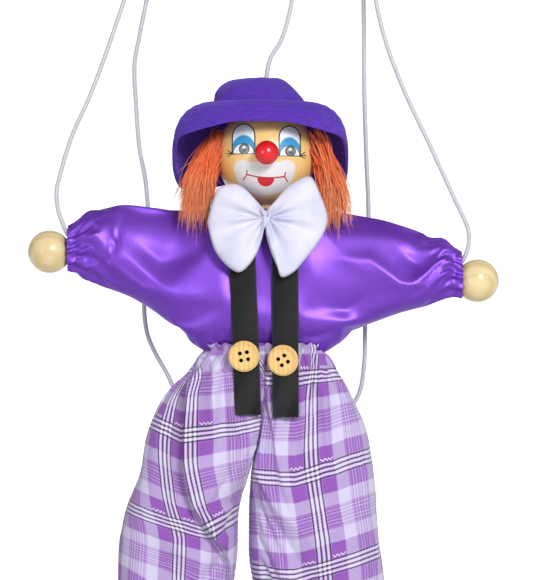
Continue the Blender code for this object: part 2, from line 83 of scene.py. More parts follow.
def mix(one, two, share):
    return one + (two - one) * share


def signed_power(value, power):
    return math.copysign(abs(value) ** power, value)


def through(*keys):
    """A smooth function through (place, value) keys, level at both ends."""
    places = [key[0] for key in keys]
    values = [key[1] for key in keys]
    slopes = [0.0]
    for i in range(1, len(keys) - 1):
        before = (values[i] - values[i - 1]) / (places[i] - places[i - 1])
        after = (values[i + 1] - values[i]) / (places[i + 1] - places[i])
        slopes.append(0.0 if before * after <= 0 else 2 * before * after / (before + after))
    slopes.append(0.0)

    def value(place):
        if place <= places[0]:
            return values[0]
        if place >= places[-1]:
            return values[-1]
        i = max(k for k in range(len(places)) if places[k] <= place)
        i = min(i, len(places) - 2)
        gap = places[i + 1] - places[i]
        t = (place - places[i]) / gap
        return (values[i] * (1 + 2 * t) * (1 - t) ** 2 + slopes[i] * gap * t * (1 - t) ** 2
                + values[i + 1] * t * t * (3 - 2 * t) + slopes[i + 1] * gap * t * t * (t - 1))

    return value


def columns(table):
    """A smooth function of the first column for each of a table's other columns."""
    places, *values = zip(*table)
    return [through(*zip(places, column)) for column in values]


def stations(start, end, gap):
    """Places from start to end, each gap(place) after the one before."""
    places = []
    while start < end:
        places.append(start)
        start += gap(start)
    return places + [end]


def closest(places, aim):
    """Which of the places is closest to the aim."""
    return min(range(len(places)), key=lambda k: abs(places[k] - aim))


def smooth_curve(route, step):
    """Evenly spaced points on a smooth curve through the route's points."""
    ends = [route[0] * 2 - route[1], *route, route[-1] * 2 - route[-2]]
    fine = []
    for before, start, end, after in zip(ends, ends[1:], ends[2:], ends[3:]):
        for part in range(24):
            t = part / 24
            fine.append(0.5 * (
                2 * start + (end - before) * t
                + (2 * before - 5 * start + 4 * end - after) * t * t
                + (3 * start - before - 3 * end + after) * t * t * t))
    fine.append(route[-1])
    along = np.concatenate([[0], np.cumsum([(b - a).length for a, b in zip(fine, fine[1:])])])
    count = max(2, round(along[-1] / step))
    grid = np.array([tuple(point) for point in fine])
    return [Vector([np.interp(spot, along, grid[:, k]) for k in range(3)])
            for spot in np.linspace(0, along[-1], count + 1)]


# ---------------------------------------------------------------- materials

def srgb(red, green, blue):
    """A linear colour from display values of 0 to 255."""
    return tuple(((c / 255 + 0.055) / 1.055) ** 2.4 if c > 10 else c / 3295
                 for c in (red, green, blue))


class Field:
    """A value in a node tree that takes part in arithmetic."""

    def __init__(self, tree, socket):
        self.tree = tree
        self.socket = socket

    def op(self, kind, *others):
        node = self.tree.nodes.new("ShaderNodeMath")
        node.operation = kind
        for slot, value in zip(node.inputs, (self, *others)):
            plug(self.tree, slot, value)
        return Field(self.tree, node.outputs[0])

    def __add__(self, other):
        return self.op("ADD", other)

    def __sub__(self, other):
        return self.op("SUBTRACT", other)

    def __rsub__(self, other):
        return (self * -1.0).op("ADD", other)

    def __mul__(self, other):
        return self.op("MULTIPLY", other)

    __radd__ = __add__
    __rmul__ = __mul__

    def __abs__(self):
        return self.op("ABSOLUTE")

    def low(self, other):
        return self.op("MINIMUM", other)

    def high(self, other):
        return self.op("MAXIMUM", other)

    def sine(self):
        return self.op("SINE")

    def root(self):
        return self.high(0.0).op("SQRT")

    def fold(self, size):
        return self.op("PINGPONG", size)

    def wrap(self, size):
        return self.op("WRAP", size, 0.0)

    def ramp(self, start, end):
        """0 at start to 1 at end, eased."""
        node = self.tree.nodes.new("ShaderNodeMapRange")
        node.interpolation_type = "SMOOTHSTEP"
        down = start > end
        plug(self.tree, node.inputs["Value"], self)
        node.inputs["From Min"].default_value = min(start, end)
        node.inputs["From Max"].default_value = max(start, end)
        node.inputs["To Min"].default_value = 1.0 if down else 0.0
        node.inputs["To Max"].default_value = 0.0 if down else 1.0
        return Field(self.tree, node.outputs[0])


def plug(tree, slot, value):
    if isinstance(value, Field):
        tree.links.new(value.socket, slot)
    elif hasattr(value, "__len__") and len(value) == 3 and slot.type == "RGBA":
        slot.default_value = (*value, 1.0)
    else:
        slot.default_value = value


class Finish:
    """A Principled material whose inputs are driven by fields."""

    def __init__(self, name):
        self.material = bpy.data.materials.new(name)
        self.material.use_nodes = True
        self.tree = self.material.node_tree
        self.shader = self.tree.nodes["Principled BSDF"]
        self.last_bump = None

    def place(self, kind="Object"):
        node = self.tree.nodes.new("ShaderNodeTexCoord")
        split = self.tree.nodes.new("ShaderNodeSeparateXYZ")
        self.tree.links.new(node.outputs[kind], split.inputs[0])
        return [Field(self.tree, out) for out in split.outputs]

    def vector(self, x, y, z=0.0):
        node = self.tree.nodes.new("ShaderNodeCombineXYZ")
        for slot, value in zip(node.inputs, (x, y, z)):
            plug(self.tree, slot, value)
        return Field(self.tree, node.outputs[0])

    def noise(self, where, scale, detail=2.0, roughness=0.5):
        node = self.tree.nodes.new("ShaderNodeTexNoise")
        self.tree.links.new(where.socket, node.inputs["Vector"])
        node.inputs["Scale"].default_value = scale
        node.inputs["Detail"].default_value = detail
        node.inputs["Roughness"].default_value = roughness
        return Field(self.tree, node.outputs[0])

    def blend(self, share, one, two):
        node = self.tree.nodes.new("ShaderNodeMix")
        node.data_type = "RGBA"
        for slot, value in zip((node.inputs[0], node.inputs[6], node.inputs[7]),
                               (share, one, two)):
            plug(self.tree, slot, value)
        return Field(self.tree, node.outputs[2])

    def layers(self, ground, *layers):
        """Paints (share, colour) layers over a ground colour."""
        for share, colour in layers:
            ground = self.blend(share, ground, colour)
        return ground

    def bump(self, height, depth, strength=1.0):
        node = self.tree.nodes.new("ShaderNodeBump")
        node.inputs["Distance"].default_value = depth
        node.inputs["Strength"].default_value = strength
        self.tree.links.new(height.socket, node.inputs["Height"])
        if self.last_bump is not None:
            self.tree.links.new(self.last_bump, node.inputs["Normal"])
        self.last_bump = node.outputs[0]
        self.tree.links.new(self.last_bump, self.shader.inputs["Normal"])

    def set(self, **values):
        for name, value in values.items():
            title = name.replace("_", " ").title() if name != "ior" else "IOR"
            plug(self.tree, self.shader.inputs[title], value)
        return self.material


def wood(name, light, dark, along=2, roughness=0.4, coat=0.25, ring=2.2):
    """Turned or planed wood: soft growth rings, long pores and lacquer."""
    made = Finish(name)
    axes = made.place()
    stretch = [60.0 if k == along else 400.0 for k in range(3)]
    where = made.vector(*[axis * size for axis, size in zip(axes, stretch)])
    across = [axis for k, axis in enumerate(axes) if k != along]
    wobble = made.noise(where, 0.35, 3.0)
    rings = ((across[0] * (1000 * ring) + across[1] * (420 * ring) + wobble * 9.0).sine()
             * 0.5 + 0.5)
    pores = made.noise(where, 3.2, 4.0, 0.7).ramp(0.56, 0.72)
    stain = made.noise(where, 0.12, 2.0)
    colour = made.layers(light, (rings * 0.5, dark), (pores * 0.55, dark),
                         (stain.ramp(0.45, 0.75) * 0.3, dark))
    made.bump(pores * -1.0 + rings * 0.2, 0.00008, 0.6)
    return made.set(base_color=colour, roughness=roughness + 0.12 * pores,
                    coat_weight=coat, coat_roughness=0.18)


def steel():
    made = Finish("bright_wire")
    fine = made.noise(made.vector(*made.place()), 2500.0, 3.0)
    made.bump(fine, 0.00002, 0.5)
    return made.set(base_color=(0.62, 0.62, 0.64), metallic=1.0, roughness=0.22 + 0.25 * fine)


def inside(distance, soft=0.1):
    """1 inside a shape and 0 outside it, from its signed distance in millimetres."""
    return distance.ramp(soft, -soft)


def ellipse(x, h, centre, size):
    across = (x - centre[0]) * (1 / size[0])
    down = (h - centre[1]) * (1 / size[1])
    return ((across * across + down * down).root() - 1.0) * min(size)


def stroke(x, h, start, end, width):
    """Signed distance to a brush stroke between two points."""
    run = (end[0] - start[0], end[1] - start[1])
    length = run[0] ** 2 + run[1] ** 2
    along = ((x - start[0]) * (run[0] / length) + (h - start[1]) * (run[1] / length))
    along = along.low(1.0).high(0.0)
    across = x - start[0] - along * run[0]
    down = h - start[1] - along * run[1]
    return (across * across + down * down).root() - width / 2


def arch(x, h, middle, half, top, base):
    """Signed distance to an eye: round above, straight-sided, flat below."""
    rise = half * 1.12
    across = (x - middle) * (1 / half)
    up = (h - (top + rise)).low(0.0) * (1 / rise)
    return (((across * across + up * up).root() - 1.0) * half).high(h - base)


EYES = {
    # middle x, half width, top, base, way the lashes point
    "left": (-9.4, 5.0, 20.0, 33.2, -1),
    "right": (9.9, 4.7, 20.9, 34.1, 1),
}
INK = srgb(24, 22, 28)
PAINT_WHITE = srgb(236, 238, 244)
PAINT_BLUE = srgb(74, 165, 214)
PAINT_RED = srgb(205, 22, 38)


def eye_layers(made, x, h, side):
    middle, half, top, base, way = EYES[side]
    whole = inside(arch(x, h, middle, half, top, base))
    white = inside(arch(x, h, middle, half - 0.55, top + 0.55, base - 0.3))
    lid = inside(ellipse(x, h, (middle, base - 1.0), (half + 0.2, 7.1)), 0.2)
    open_eye = inside(ellipse(x, h, (middle, base - 0.3), (half - 0.6, 4.2)), 0.1)
    rim = inside(abs(ellipse(x, h, (middle, base - 0.3), (half - 0.6, 4.2))) - 0.1)
    centre = (middle + 0.3, base - 2.2)
    iris = ellipse(x, h, centre, (2.15, 2.15))
    pupil = ellipse(x, h, (centre[0] + 0.1, centre[1] + 0.3), (0.95, 0.95))
    glint = ellipse(x, h, (centre[0] - 0.1, centre[1] - 0.7), (0.62, 0.62))
    speck = made.noise(made.vector(x, h), 4.2, 2.0).ramp(0.52, 0.7)
    upper = made.blend(speck * 0.35, PAINT_WHITE, srgb(176, 200, 224))
    shade = made.noise(made.vector(x * 0.4, h), 1.4, 1.0)
    blue = made.blend(shade, PAINT_BLUE, srgb(48, 132, 190))
    grey = made.blend(iris.ramp(-2.2, 0.0), srgb(190, 194, 198), srgb(96, 100, 106))
    layers = [(whole, INK), (white, upper), (white * lid, blue),
              (white * open_eye, PAINT_WHITE), (white * rim, INK),
              (white * inside(iris), grey),
              (white * inside(abs(iris) - 0.12), INK),
              (white * inside(pupil, 0.3) * 0.75, INK),
              (white * inside(glint, 0.25), PAINT_WHITE)]
    corner = (middle + way * (half - 0.3), base - 0.4)
    for reach, drop in ((2.0, -1.5), (2.4, -0.2), (1.9, 1.0)):
        tip = (corner[0] + way * reach, corner[1] + drop)
        layers.append((inside(stroke(x, h, corner, tip, 0.42)), INK))
    sweep = stroke(x, h, (corner[0] - way * 4.4, base - 0.1), corner, 0.36)
    layers.append((inside(sweep) * 0.7, INK))
    return layers


def painted_face():
    """Lacquered wood with a clown's face brushed on the front."""
    made = Finish("painted_head")
    across, forward, up = made.place()
    x = across * 1000.0
    h = (up - HAT_TOP) * -1000.0
    front = forward.ramp(0.001, -0.001)
    grain = made.noise(made.vector(across * 500.0, forward * 500.0, up * 90.0), 1.0, 3.0)
    skin = made.layers(srgb(240, 200, 132), (grain.ramp(0.4, 0.75) * 0.35, srgb(222, 172, 98)))
    # a warmer, darker patch low on the face's left side only
    left_side_tint = inside(ellipse(x, h, (-17.5, 38), (5, 8)), 2.4) * 0.35
    mouth = ellipse(x, h, (-0.6, 40.8), (12.3, 9.3)).high(36.4 - h)
    for lobe in (-9.9, 8.7):
        mouth = mouth.low(ellipse(x, h, (lobe, 38.9), (3.6, 3.3)))
    line = abs(h - (43.0 + x * 0.05 - x * x * 0.016)) - 0.3
    smile = inside(line, 0.12) * inside(abs(x + 0.1) - 7.9, 0.2)
    tongue = ellipse(x, h, (-0.1, 43.1), (3.6, 3.5)).high(43.0 - h)
    layers = [(left_side_tint, srgb(238, 176, 92)),
              (inside(mouth, 0.45), srgb(224, 221, 222)),
              (inside(tongue, 0.12), PAINT_RED), (smile, srgb(176, 18, 40))]
    ticks = (((-7.9, 39.9), (-8.1, 41.7)), ((-8.1, 41.7), (-9.5, 43.8)),
             ((8.1, 40.8), (7.8, 42.5)), ((7.8, 42.5), (9.0, 44.5)))
    for start, end in ticks:
        layers.append((inside(stroke(x, h, start, end, 0.5)), srgb(176, 18, 40)))
    for side in SIDES:
        layers += eye_layers(made, x, h, side)
    colour = made.layers(skin, *[(share * front, tint) for share, tint in layers])
    made.bump(grain, 0.00006, 0.35)
    return made.set(base_color=colour, roughness=0.34, coat_weight=0.35, coat_roughness=0.14)


def red_lacquer():
    made = Finish("red_nose")
    fleck = made.noise(made.vector(*made.place()), 700.0, 3.0)
    colour = made.blend(fleck * 0.4, srgb(222, 14, 24), srgb(190, 6, 18))
    made.bump(fleck, 0.00003, 0.4)
    return made.set(base_color=colour, roughness=0.3 + 0.1 * fleck, coat_weight=0.5,
                    coat_roughness=0.1)


def felt():
    """Brushed violet cloth: short nap, uneven dye and a soft bloom at the edges."""
    made = Finish("violet_felt")
    x, y, z = made.place()
    where = made.vector(x, y, z)
    nap = made.noise(where, 2600.0, 4.0, 0.65)
    brushed = made.noise(made.vector(x * 0.35, y, z * 1.6), 700.0, 3.0, 0.6)
    patch = made.noise(where, 75.0, 2.0)
    colour = made.layers(srgb(84, 42, 172), (brushed.ramp(0.35, 0.7) * 0.55, srgb(60, 26, 132)),
                         (patch.ramp(0.5, 0.75) * 0.4, srgb(104, 62, 196)),
                         (nap.ramp(0.55, 0.75) * 0.4, srgb(124, 88, 208)))
    made.bump(nap, 0.00035, 0.8)
    made.bump(brushed, 0.0005, 0.6)
    return made.set(base_color=colour, roughness=0.92, sheen_weight=0.5, sheen_roughness=0.5,
                    sheen_tint=srgb(150, 120, 235))


def satin():
    """Purple satin: fine warp, broad bright sheen and dark hollows."""
    made = Finish("purple_satin")
    u, v, _ = made.place("UV")
    warp = (u * 9000.0).sine()
    slub = made.noise(made.vector(u * 160.0, v * 1400.0), 1.0, 3.0, 0.6)
    patch = made.noise(made.vector(u * 26.0, v * 26.0), 1.0, 1.0)
    colour = made.layers(srgb(124, 66, 194), (slub * 0.3, srgb(96, 46, 166)),
                         (patch.ramp(0.45, 0.7) * 0.25, srgb(142, 88, 212)))
    made.bump(slub + warp * 0.15, 0.00006, 0.35)
    return made.set(base_color=colour, metallic=0.55, roughness=0.4 + 0.08 * slub,
                    anisotropic=0.4, coat_weight=0.25, coat_roughness=0.42,
                    coat_tint=srgb(214, 190, 255))


PLAID_REPEAT = 0.041


def stripes(place, offsets, width, soft):
    """1 on thin lines at these distances from the repeat's middle."""
    total = None
    for offset in offsets:
        line = abs(place - offset * MM).ramp((width / 2 + soft) * MM, (width / 2) * MM)
        total = line if total is None else total.high(line)
    return total


def band(place, start, end, soft=0.25):
    return place.ramp((start - soft) * MM, (start + soft) * MM) * place.ramp(
        (end + soft) * MM, (end - soft) * MM)


def plaid():
    """Woven plaid in lilac, orchid and white with black and white line groups and zigzags."""
    made = Finish("plaid_cotton")
    u, v, _ = made.place("UV")
    wander = made.noise(made.vector(u * 60.0, v * 60.0), 1.0, 2.0) * 0.0006
    warp = (u + wander + 5 * PLAID_REPEAT).fold(PLAID_REPEAT / 2)
    weft = (v + wander + 5 * PLAID_REPEAT).fold(PLAID_REPEAT / 2)
    threads = made.noise(made.vector(u * 2600.0, v * 500.0), 1.0, 2.0)
    picks = made.noise(made.vector(u * 500.0, v * 2600.0), 1.0, 2.0)
    lilac, orchid, pale = srgb(176, 140, 206), srgb(138, 70, 174), srgb(210, 208, 232)

    def yarns(place, grain):
        ground = made.blend(grain * 0.5, lilac, srgb(176, 132, 208))
        return made.layers(ground,
                           (band(place, 3.6, 9.8) * (0.75 + 0.25 * grain), orchid),
                           (band(place, 10.0, 15.6) * (0.75 + 0.25 * grain), pale),
                           (stripes(place, (16.9, 18.3, 19.7), 0.28, 0.14) * 0.75,
                            srgb(104, 60, 134)),
                           (stripes(place, (17.6, 19.0), 0.3, 0.2) * 0.6, pale))

    colour = made.blend(0.5 + 0.2 * (threads - picks), yarns(warp, threads), yarns(weft, picks))
    for place, grain in ((warp, picks), (weft, threads)):
        colour = made.layers(
            colour, (stripes(place, (0.0, 2.0), 0.7, 0.2) * 0.65, srgb(226, 224, 238)),
            (stripes(place, (1.0, 3.0), 0.42, 0.16) * (0.7 + 0.3 * grain), srgb(32, 24, 44)))
    tooth = u.fold(0.0009) * 1.1
    zig = abs((v + 0.011).wrap(PLAID_REPEAT) - 0.006 - tooth).ramp(0.00032, 0.00016)
    zig = zig * band(warp, 3.8, 9.6)
    colour = made.layers(colour, (zig * 0.85, srgb(246, 244, 252)))
    weave = (u * 11000.0).sine() * (v * 11000.0).sine()
    made.bump(weave * 0.4 + threads * 0.5 + picks * 0.5 + zig * 1.5, 0.00012, 0.6)
    return made.set(base_color=colour, roughness=0.86, sheen_weight=0.25, sheen_roughness=0.5)


def ribbon():
    made = Finish("black_ribbon")
    u, v, _ = made.place("UV")
    ribs = (v * 14000.0).sine()
    fleck = made.noise(made.vector(u * 900.0, v * 900.0), 1.0, 3.0)
    edge = abs(u).ramp(0.0048, 0.0053)
    colour = made.layers((0.006, 0.006, 0.007), (fleck * 0.5, (0.016, 0.016, 0.018)),
                         (edge * 0.5, (0.03, 0.03, 0.034)))
    made.bump(ribs * 0.5 + fleck * 0.6 - edge, 0.00008, 0.6)
    return made.set(base_color=colour, roughness=0.5, ior=1.28)


def white_cloth():
    """Soft white polyester, with painted shade: faint lavender patches, laid at random, for the
    shade in its folds.
    """
    made = Finish("white_cloth")
    u, v, _ = made.place("UV")
    knit = (u * 7000.0).sine() * (v * 7000.0).sine()
    cloud = made.noise(made.vector(u * 90.0, v * 90.0), 1.0, 2.0)
    # painted shade: lavender patches where the noise is high
    colour = made.blend(cloud.ramp(0.35, 0.7), srgb(218, 216, 232), srgb(202, 203, 226))
    made.bump(knit * 0.5 + cloud, 0.00008, 0.5)
    return made.set(base_color=colour, roughness=0.8, sheen_weight=0.35, sheen_roughness=0.4,
                    subsurface_weight=0.12, subsurface_scale=0.002)


def fur():
    """Orange false fur: each strand has its own tint, darker at the root, with painted
    highlight: lighter towards the tip.
    """
    made = Finish("orange_fur")
    u, v, _ = made.place("UV")
    # the lighter tips are painted highlight
    colour = made.layers(srgb(255, 112, 40), (u.ramp(0.4, 0.95) * 0.8, srgb(255, 168, 110)),
                         (u.ramp(0.25, 0.02) * 0.6, srgb(222, 70, 28)),
                         (v.ramp(0.3, 0.0) * 0.4, srgb(206, 58, 24)),
                         (v.ramp(0.6, 1.0) * 0.45, srgb(255, 178, 122)))
    return made.set(base_color=colour, roughness=0.42, sheen_weight=0.2)


# the braid's strands: how many run each way round, and their slant in radians per metre
BRAID_STRANDS = 3
BRAID_SLANT = 3600.0


def braid():
    """White nylon braid: strands cross both ways round the cord, with painted shade, grey, in
    the hollows between them.
    """
    made = Finish("nylon_braid")
    u, v, _ = made.place("UV")
    one = (u * (TURN * BRAID_STRANDS) + v * BRAID_SLANT).sine()
    two = (u * (TURN * BRAID_STRANDS) - v * BRAID_SLANT).sine()
    # painted shade: grey where the strands dip between their crossings
    hollow_shade = (one * two).ramp(0.1, -0.9)
    fuzz = made.noise(made.vector(u * 20.0, v * 4000.0), 1.0, 3.0)
    colour = made.layers(srgb(206, 206, 212), (hollow_shade * 0.7, srgb(128, 129, 138)),
                         (fuzz * 0.3, srgb(176, 176, 184)))
    made.bump(one * two * 0.5 + fuzz * 0.3, 0.00015, 0.7)
    return made.set(base_color=colour, roughness=0.62, sheen_weight=0.2)


def lacquer(name, colour, dark):
    made = Finish(name)
    wear = made.noise(made.vector(*made.place()), 260.0, 4.0, 0.6)
    made.bump(wear, 0.00006, 0.4)
    return made.set(base_color=made.blend(wear.ramp(0.4, 0.7) * 0.6, colour, dark),
                    roughness=0.22 + 0.25 * wear, coat_weight=0.4, coat_roughness=0.12)


BEAD_WOOD = wood("bead_wood", srgb(232, 212, 164), srgb(206, 176, 116), 0, 0.34, 0.4, 1.5)
BUTTON_WOOD = wood("button_wood", srgb(236, 198, 128), srgb(206, 156, 84), 2, 0.42, 0.2, 3.0)
BAR_WOOD_ALONG = wood("bar_wood_along", srgb(206, 162, 104), srgb(166, 116, 64), 1)
BAR_WOOD_ACROSS = wood("bar_wood_across", srgb(206, 162, 104), srgb(166, 116, 64), 0)
DOWEL_WOOD = wood("dowel_wood", srgb(224, 190, 138), srgb(190, 146, 90), 2)
HEAD_PAINT = painted_face()
NOSE_RED = red_lacquer()
FELT = felt()
SATIN = satin()
PLAID = plaid()
RIBBON = ribbon()
WHITE = white_cloth()
FUR = fur()
BRAID = braid()
STEEL = steel()
SHOE_BLACK = lacquer("shoe_black", srgb(30, 26, 32), srgb(12, 10, 14))
SOLE_BROWN = lacquer("sole_brown", srgb(150, 104, 62), srgb(112, 72, 40))

# ---------------------------------------------------------------- mesh helpers

def new_object(name, points, faces, corners, materials, marks=None, merge=True):
    """A smooth mesh object in frame coordinates, with one UV pair for each face corner."""
    mesh = bpy.data.meshes.new(name)
    mesh.from_pydata([tuple(point) for point in points], [], faces)
    layer = mesh.uv_layers.new(name="cloth")
    layer.data.foreach_set("uv", np.array(corners, dtype=float).ravel())
    for material in materials:
        mesh.materials.append(material)
    if marks is not None:
        mesh.polygons.foreach_set("material_index", marks)
    if merge:
        work = bmesh.new()
        work.from_mesh(mesh)
        bmesh.ops.remove_doubles(work, verts=work.verts, dist=1e-7)
        bmesh.ops.recalc_face_normals(work, faces=work.faces)
        work.to_mesh(mesh)
        work.free()
    mesh.polygons.foreach_set("use_smooth", [True] * len(mesh.polygons))
    made = bpy.data.objects.new(name, mesh)
    bpy.context.scene.collection.objects.link(made)
    return made


def cells(rows, cols, round_cols=True, skip=None):
    """The squares of a grid, whose columns may close into a ring."""
    for i in range(rows - 1):
        for j in range(cols if round_cols else cols - 1):
            if skip is None or not skip(i, j):
                yield ((i, j), (i, j + 1), (i + 1, j + 1), (i + 1, j))


def patch(rows, cols, point):
    """A grid of points, from point(i, j)."""
    return np.array([[tuple(point(i, j)) for j in range(cols)] for i in range(rows)])


def surface(name, grid, uv, materials, mark=None):
    """A grid of points, as rows and ringed columns, made into one surface."""
    rows, cols = grid.shape[:2]
    faces, corners, marks = [], [], []
    for square in cells(rows, cols):
        faces.append([i * cols + j % cols for i, j in square])
        corners += [uv(i, j) for i, j in square]
        marks.append(mark(*square[0]) if mark else 0)
    return new_object(name, grid.reshape(-1, 3), faces, corners, materials, marks)


def grid_normals(grid, round_cols):
    along = np.gradient(grid, axis=0)
    if round_cols:
        across = (np.roll(grid, -1, axis=1) - np.roll(grid, 1, axis=1)) / 2
    else:
        across = np.gradient(grid, axis=1)
    normals = np.cross(along, across)
    normals /= np.maximum(np.linalg.norm(normals, axis=2, keepdims=True), 1e-12)
    outward = np.sum(normals * (grid - grid.mean(axis=(0, 1))))
    return normals if outward > 0 else -normals


def shell(name, grid, uv, material, thick, used=None, skip=None, round_cols=True):
    """Cloth with two sides and hems, from the used rows of a whole grid.

    Its shading follows the whole grid, so two pieces of one grid meet without a seam."""
    rows, cols = grid.shape[:2]
    normals = grid_normals(grid, round_cols)
    first, last = used or (0, rows - 1)
    part = grid[first:last + 1]
    facing = normals[first:last + 1]
    count = part.shape[0] * cols
    points = np.concatenate([part.reshape(-1, 3), (part - facing * thick).reshape(-1, 3)])
    flat = facing.reshape(-1, 3)
    sides, faces, corners, loops = set(), [], [], []
    squares = list(cells(part.shape[0], cols, round_cols,
                         skip and (lambda i, j: skip(i + first, j))))
    sample = [k * cols + j % cols for k, j in squares[len(squares) // 2]]
    turn = np.cross(points[sample[1]] - points[sample[0]], points[sample[2]] - points[sample[1]])
    reverse = np.dot(turn, flat[sample[0]]) < 0
    for square in squares:
        if reverse:
            square = square[::-1]
        ids = [i * cols + j % cols for i, j in square]
        pairs = [uv(i + first, j) for i, j in square]
        faces.append(ids)
        corners += pairs
        loops += [flat[k] for k in ids]
        faces.append([k + count for k in ids[::-1]])
        corners += pairs[::-1]
        loops += [-flat[k] for k in ids[::-1]]
        for k in range(4):
            sides.add((ids[k], ids[(k + 1) % 4], pairs[k], pairs[(k + 1) % 4]))
    known = {(a, b) for a, b, _, _ in sides}
    for a, b, one, two in sorted(sides):
        if (b, a) not in known:
            faces.append([b, a, a + count, b + count])
            corners += [two, one, one, two]
            loops += [np.zeros(3)] * 4
    kept = sorted({k for face in faces for k in face})
    place = {k: n for n, k in enumerate(kept)}
    faces = [[place[k] for k in face] for face in faces]
    made = new_object(name, points[kept], faces, corners, [material], merge=False)
    made.data.normals_split_custom_set([tuple(v) for v in loops])
    return made


# the solver suits garments, so a piece is draped at ten times its size
DRAPE_SCALE = 10.0
DRAPE_FRAMES = 18


def drape(grid, held, growth, cap, pull, bend):
    """Wrinkles a sheet: simulates it a little oversize, held by weight held(i, j).

    No point moves further than cap millimetres."""
    rows, cols = grid.shape[:2]
    faces = [[i * cols + j % cols for i, j in square] for square in cells(rows, cols)]
    mesh = bpy.data.meshes.new("draping")
    mesh.from_pydata([tuple(p) for p in grid.reshape(-1, 3) * DRAPE_SCALE], [], faces)
    loose = bpy.data.objects.new("draping", mesh)
    bpy.context.scene.collection.objects.link(loose)
    group = loose.vertex_groups.new(name="held")
    for i in range(rows):
        for j in range(cols):
            group.add([i * cols + j], held(i, j), "REPLACE")
    cloth = loose.modifiers.new("cloth", "CLOTH")
    cloth.settings.quality = 6
    cloth.settings.mass = 0.2
    cloth.settings.tension_stiffness = 12
    cloth.settings.compression_stiffness = 12
    cloth.settings.shear_stiffness = 4
    cloth.settings.bending_stiffness = bend
    cloth.settings.air_damping = 3
    cloth.settings.vertex_group_mass = "held"
    cloth.settings.pin_stiffness = 1.0
    cloth.settings.shrink_min = -growth
    cloth.settings.effector_weights.gravity = pull
    cloth.point_cache.frame_end = DRAPE_FRAMES
    for step in range(1, DRAPE_FRAMES + 1):
        bpy.context.scene.frame_set(step)
    seen = loose.evaluated_get(bpy.context.evaluated_depsgraph_get())
    found = np.empty(rows * cols * 3)
    seen.data.vertices.foreach_get("co", found)
    bpy.data.objects.remove(loose, do_unlink=True)
    bpy.context.scene.frame_set(1)
    moved = found.reshape(grid.shape) / DRAPE_SCALE - grid
    far = np.maximum(np.linalg.norm(moved, axis=2, keepdims=True), 1e-9)
    return grid + moved / far * cap * MM * np.tanh(far / (cap * MM))


def frames_along(path):
    """Directions square to a path that turn as little as possible along it."""
    path = np.array([tuple(point) for point in path])
    ahead = np.gradient(path, axis=0)
    ahead /= np.linalg.norm(ahead, axis=1, keepdims=True)
    first = np.array([1.0, 0.0, 0.0])
    if abs(ahead[0] @ first) > 0.9:
        first = np.array([0.0, 1.0, 0.0])
    side = np.empty_like(path)
    for k, way in enumerate(ahead):
        last = first if k == 0 else side[k - 1]
        flat = last - way * (last @ way)
        side[k] = flat / np.linalg.norm(flat)
    return path, side, np.cross(ahead, side)


def tube(name, path, radius, sides, material, ends=True, relief=None):
    """A round cord along a path, with rounded ends and an optional relief."""
    path, side, up = frames_along(path)
    along = np.concatenate([[0], np.cumsum(np.linalg.norm(np.diff(path, axis=0), axis=1))])
    turns = np.arange(sides) * TURN / sides
    grid = np.empty((len(path), sides, 3))
    for i in range(len(path)):
        size = radius
        if ends:
            gap = min(along[i], along[-1] - along[i])
            size = radius * math.sqrt(max(0.0, 1 - max(0.0, 1 - gap / radius) ** 2))
        sizes = np.full(sides, size)
        if relief is not None:
            sizes = sizes * (1 + relief(turns, along[i]))
        grid[i] = path[i] + (np.outer(np.cos(turns) * sizes, side[i])
                             + np.outer(np.sin(turns) * sizes, up[i]))
    return surface(name, grid, lambda i, j: (j / sides, along[i]), [material])


def lathe(name, centre, axis, profile, material, segments):
    """A turned piece from (radius, height) in millimetres round an axis through centre."""
    axis = Vector(axis).normalized()
    side = axis.orthogonal().normalized()
    up = axis.cross(side)

    def point(i, j):
        radius, height = profile[i]
        turn = TURN * j / segments
        out = (side * math.cos(turn) + up * math.sin(turn)) * radius * MM
        return centre + axis * height * MM + out

    return surface(name, patch(len(profile), segments, point),
                   lambda i, j: (j / segments, i / len(profile)), [material])


def join(made, others):
    """Makes the other pieces part of the first one."""
    whole = [made, *others]
    with bpy.context.temp_override(active_object=made, object=made, selected_objects=whole,
                                   selected_editable_objects=whole):
        bpy.ops.object.join()


def ball_profile(radius, start, end, steps):
    """Points on a ball, from one angle to another in degrees off the axis."""
    angles = [math.radians(mix(start, end, k / steps)) for k in range(steps + 1)]
    return [(radius * math.sin(a), radius * math.cos(a)) for a in angles]


def ridge(x, h, line, width, height):
    """A soft fold's height near a line of points, thinning out at both its ends."""
    nearest, spot, run = 1e9, 0.0, 0.0
    for start, end in zip(line, line[1:]):
        way = (end[0] - start[0], end[1] - start[1])
        long = math.hypot(*way)
        share = ((x - start[0]) * way[0] + (h - start[1]) * way[1]) / long ** 2
        share = min(1.0, max(0.0, share))
        gap = math.hypot(x - start[0] - share * way[0], h - start[1] - share * way[1])
        if gap < nearest:
            nearest, spot = gap, run + share * long
        run += long
    taper = math.sin(math.pi * mix(0.1, 0.9, spot / run))
    return height * taper * math.exp(-(nearest / width) ** 1.5)


# ---------------------------------------------------------------- camera and lights

def camera():
    data = bpy.data.cameras.new("camera")
    data.sensor_width = 36
    data.lens = 175.6
    data.clip_end = 20
    made = bpy.data.objects.new("camera", data)
    made.location = (0.0002, -1.2, -0.2399)
    made.rotation_euler = (math.pi / 2, 0, 0)
    bpy.context.scene.collection.objects.link(made)
    bpy.context.scene.camera = made


def lamp(name, place, aim, size, power):
    data = bpy.data.lights.new(name, "AREA")
    data.shape = "RECTANGLE"
    data.size = data.size_y = size
    data.energy = power
    made = bpy.data.objects.new(name, data)
    made.location = place
    made.rotation_euler = (Vector(aim) - Vector(place)).to_track_quat("-Z", "Y").to_euler()
    bpy.context.scene.collection.objects.link(made)


# a wide bowl of paper, with room inside for a camera on any side
BOWL_FLOOR = 3.4
BOWL_CURVE = 1.6
BOWL_HEIGHT = 6.0
FLOOR = -0.43


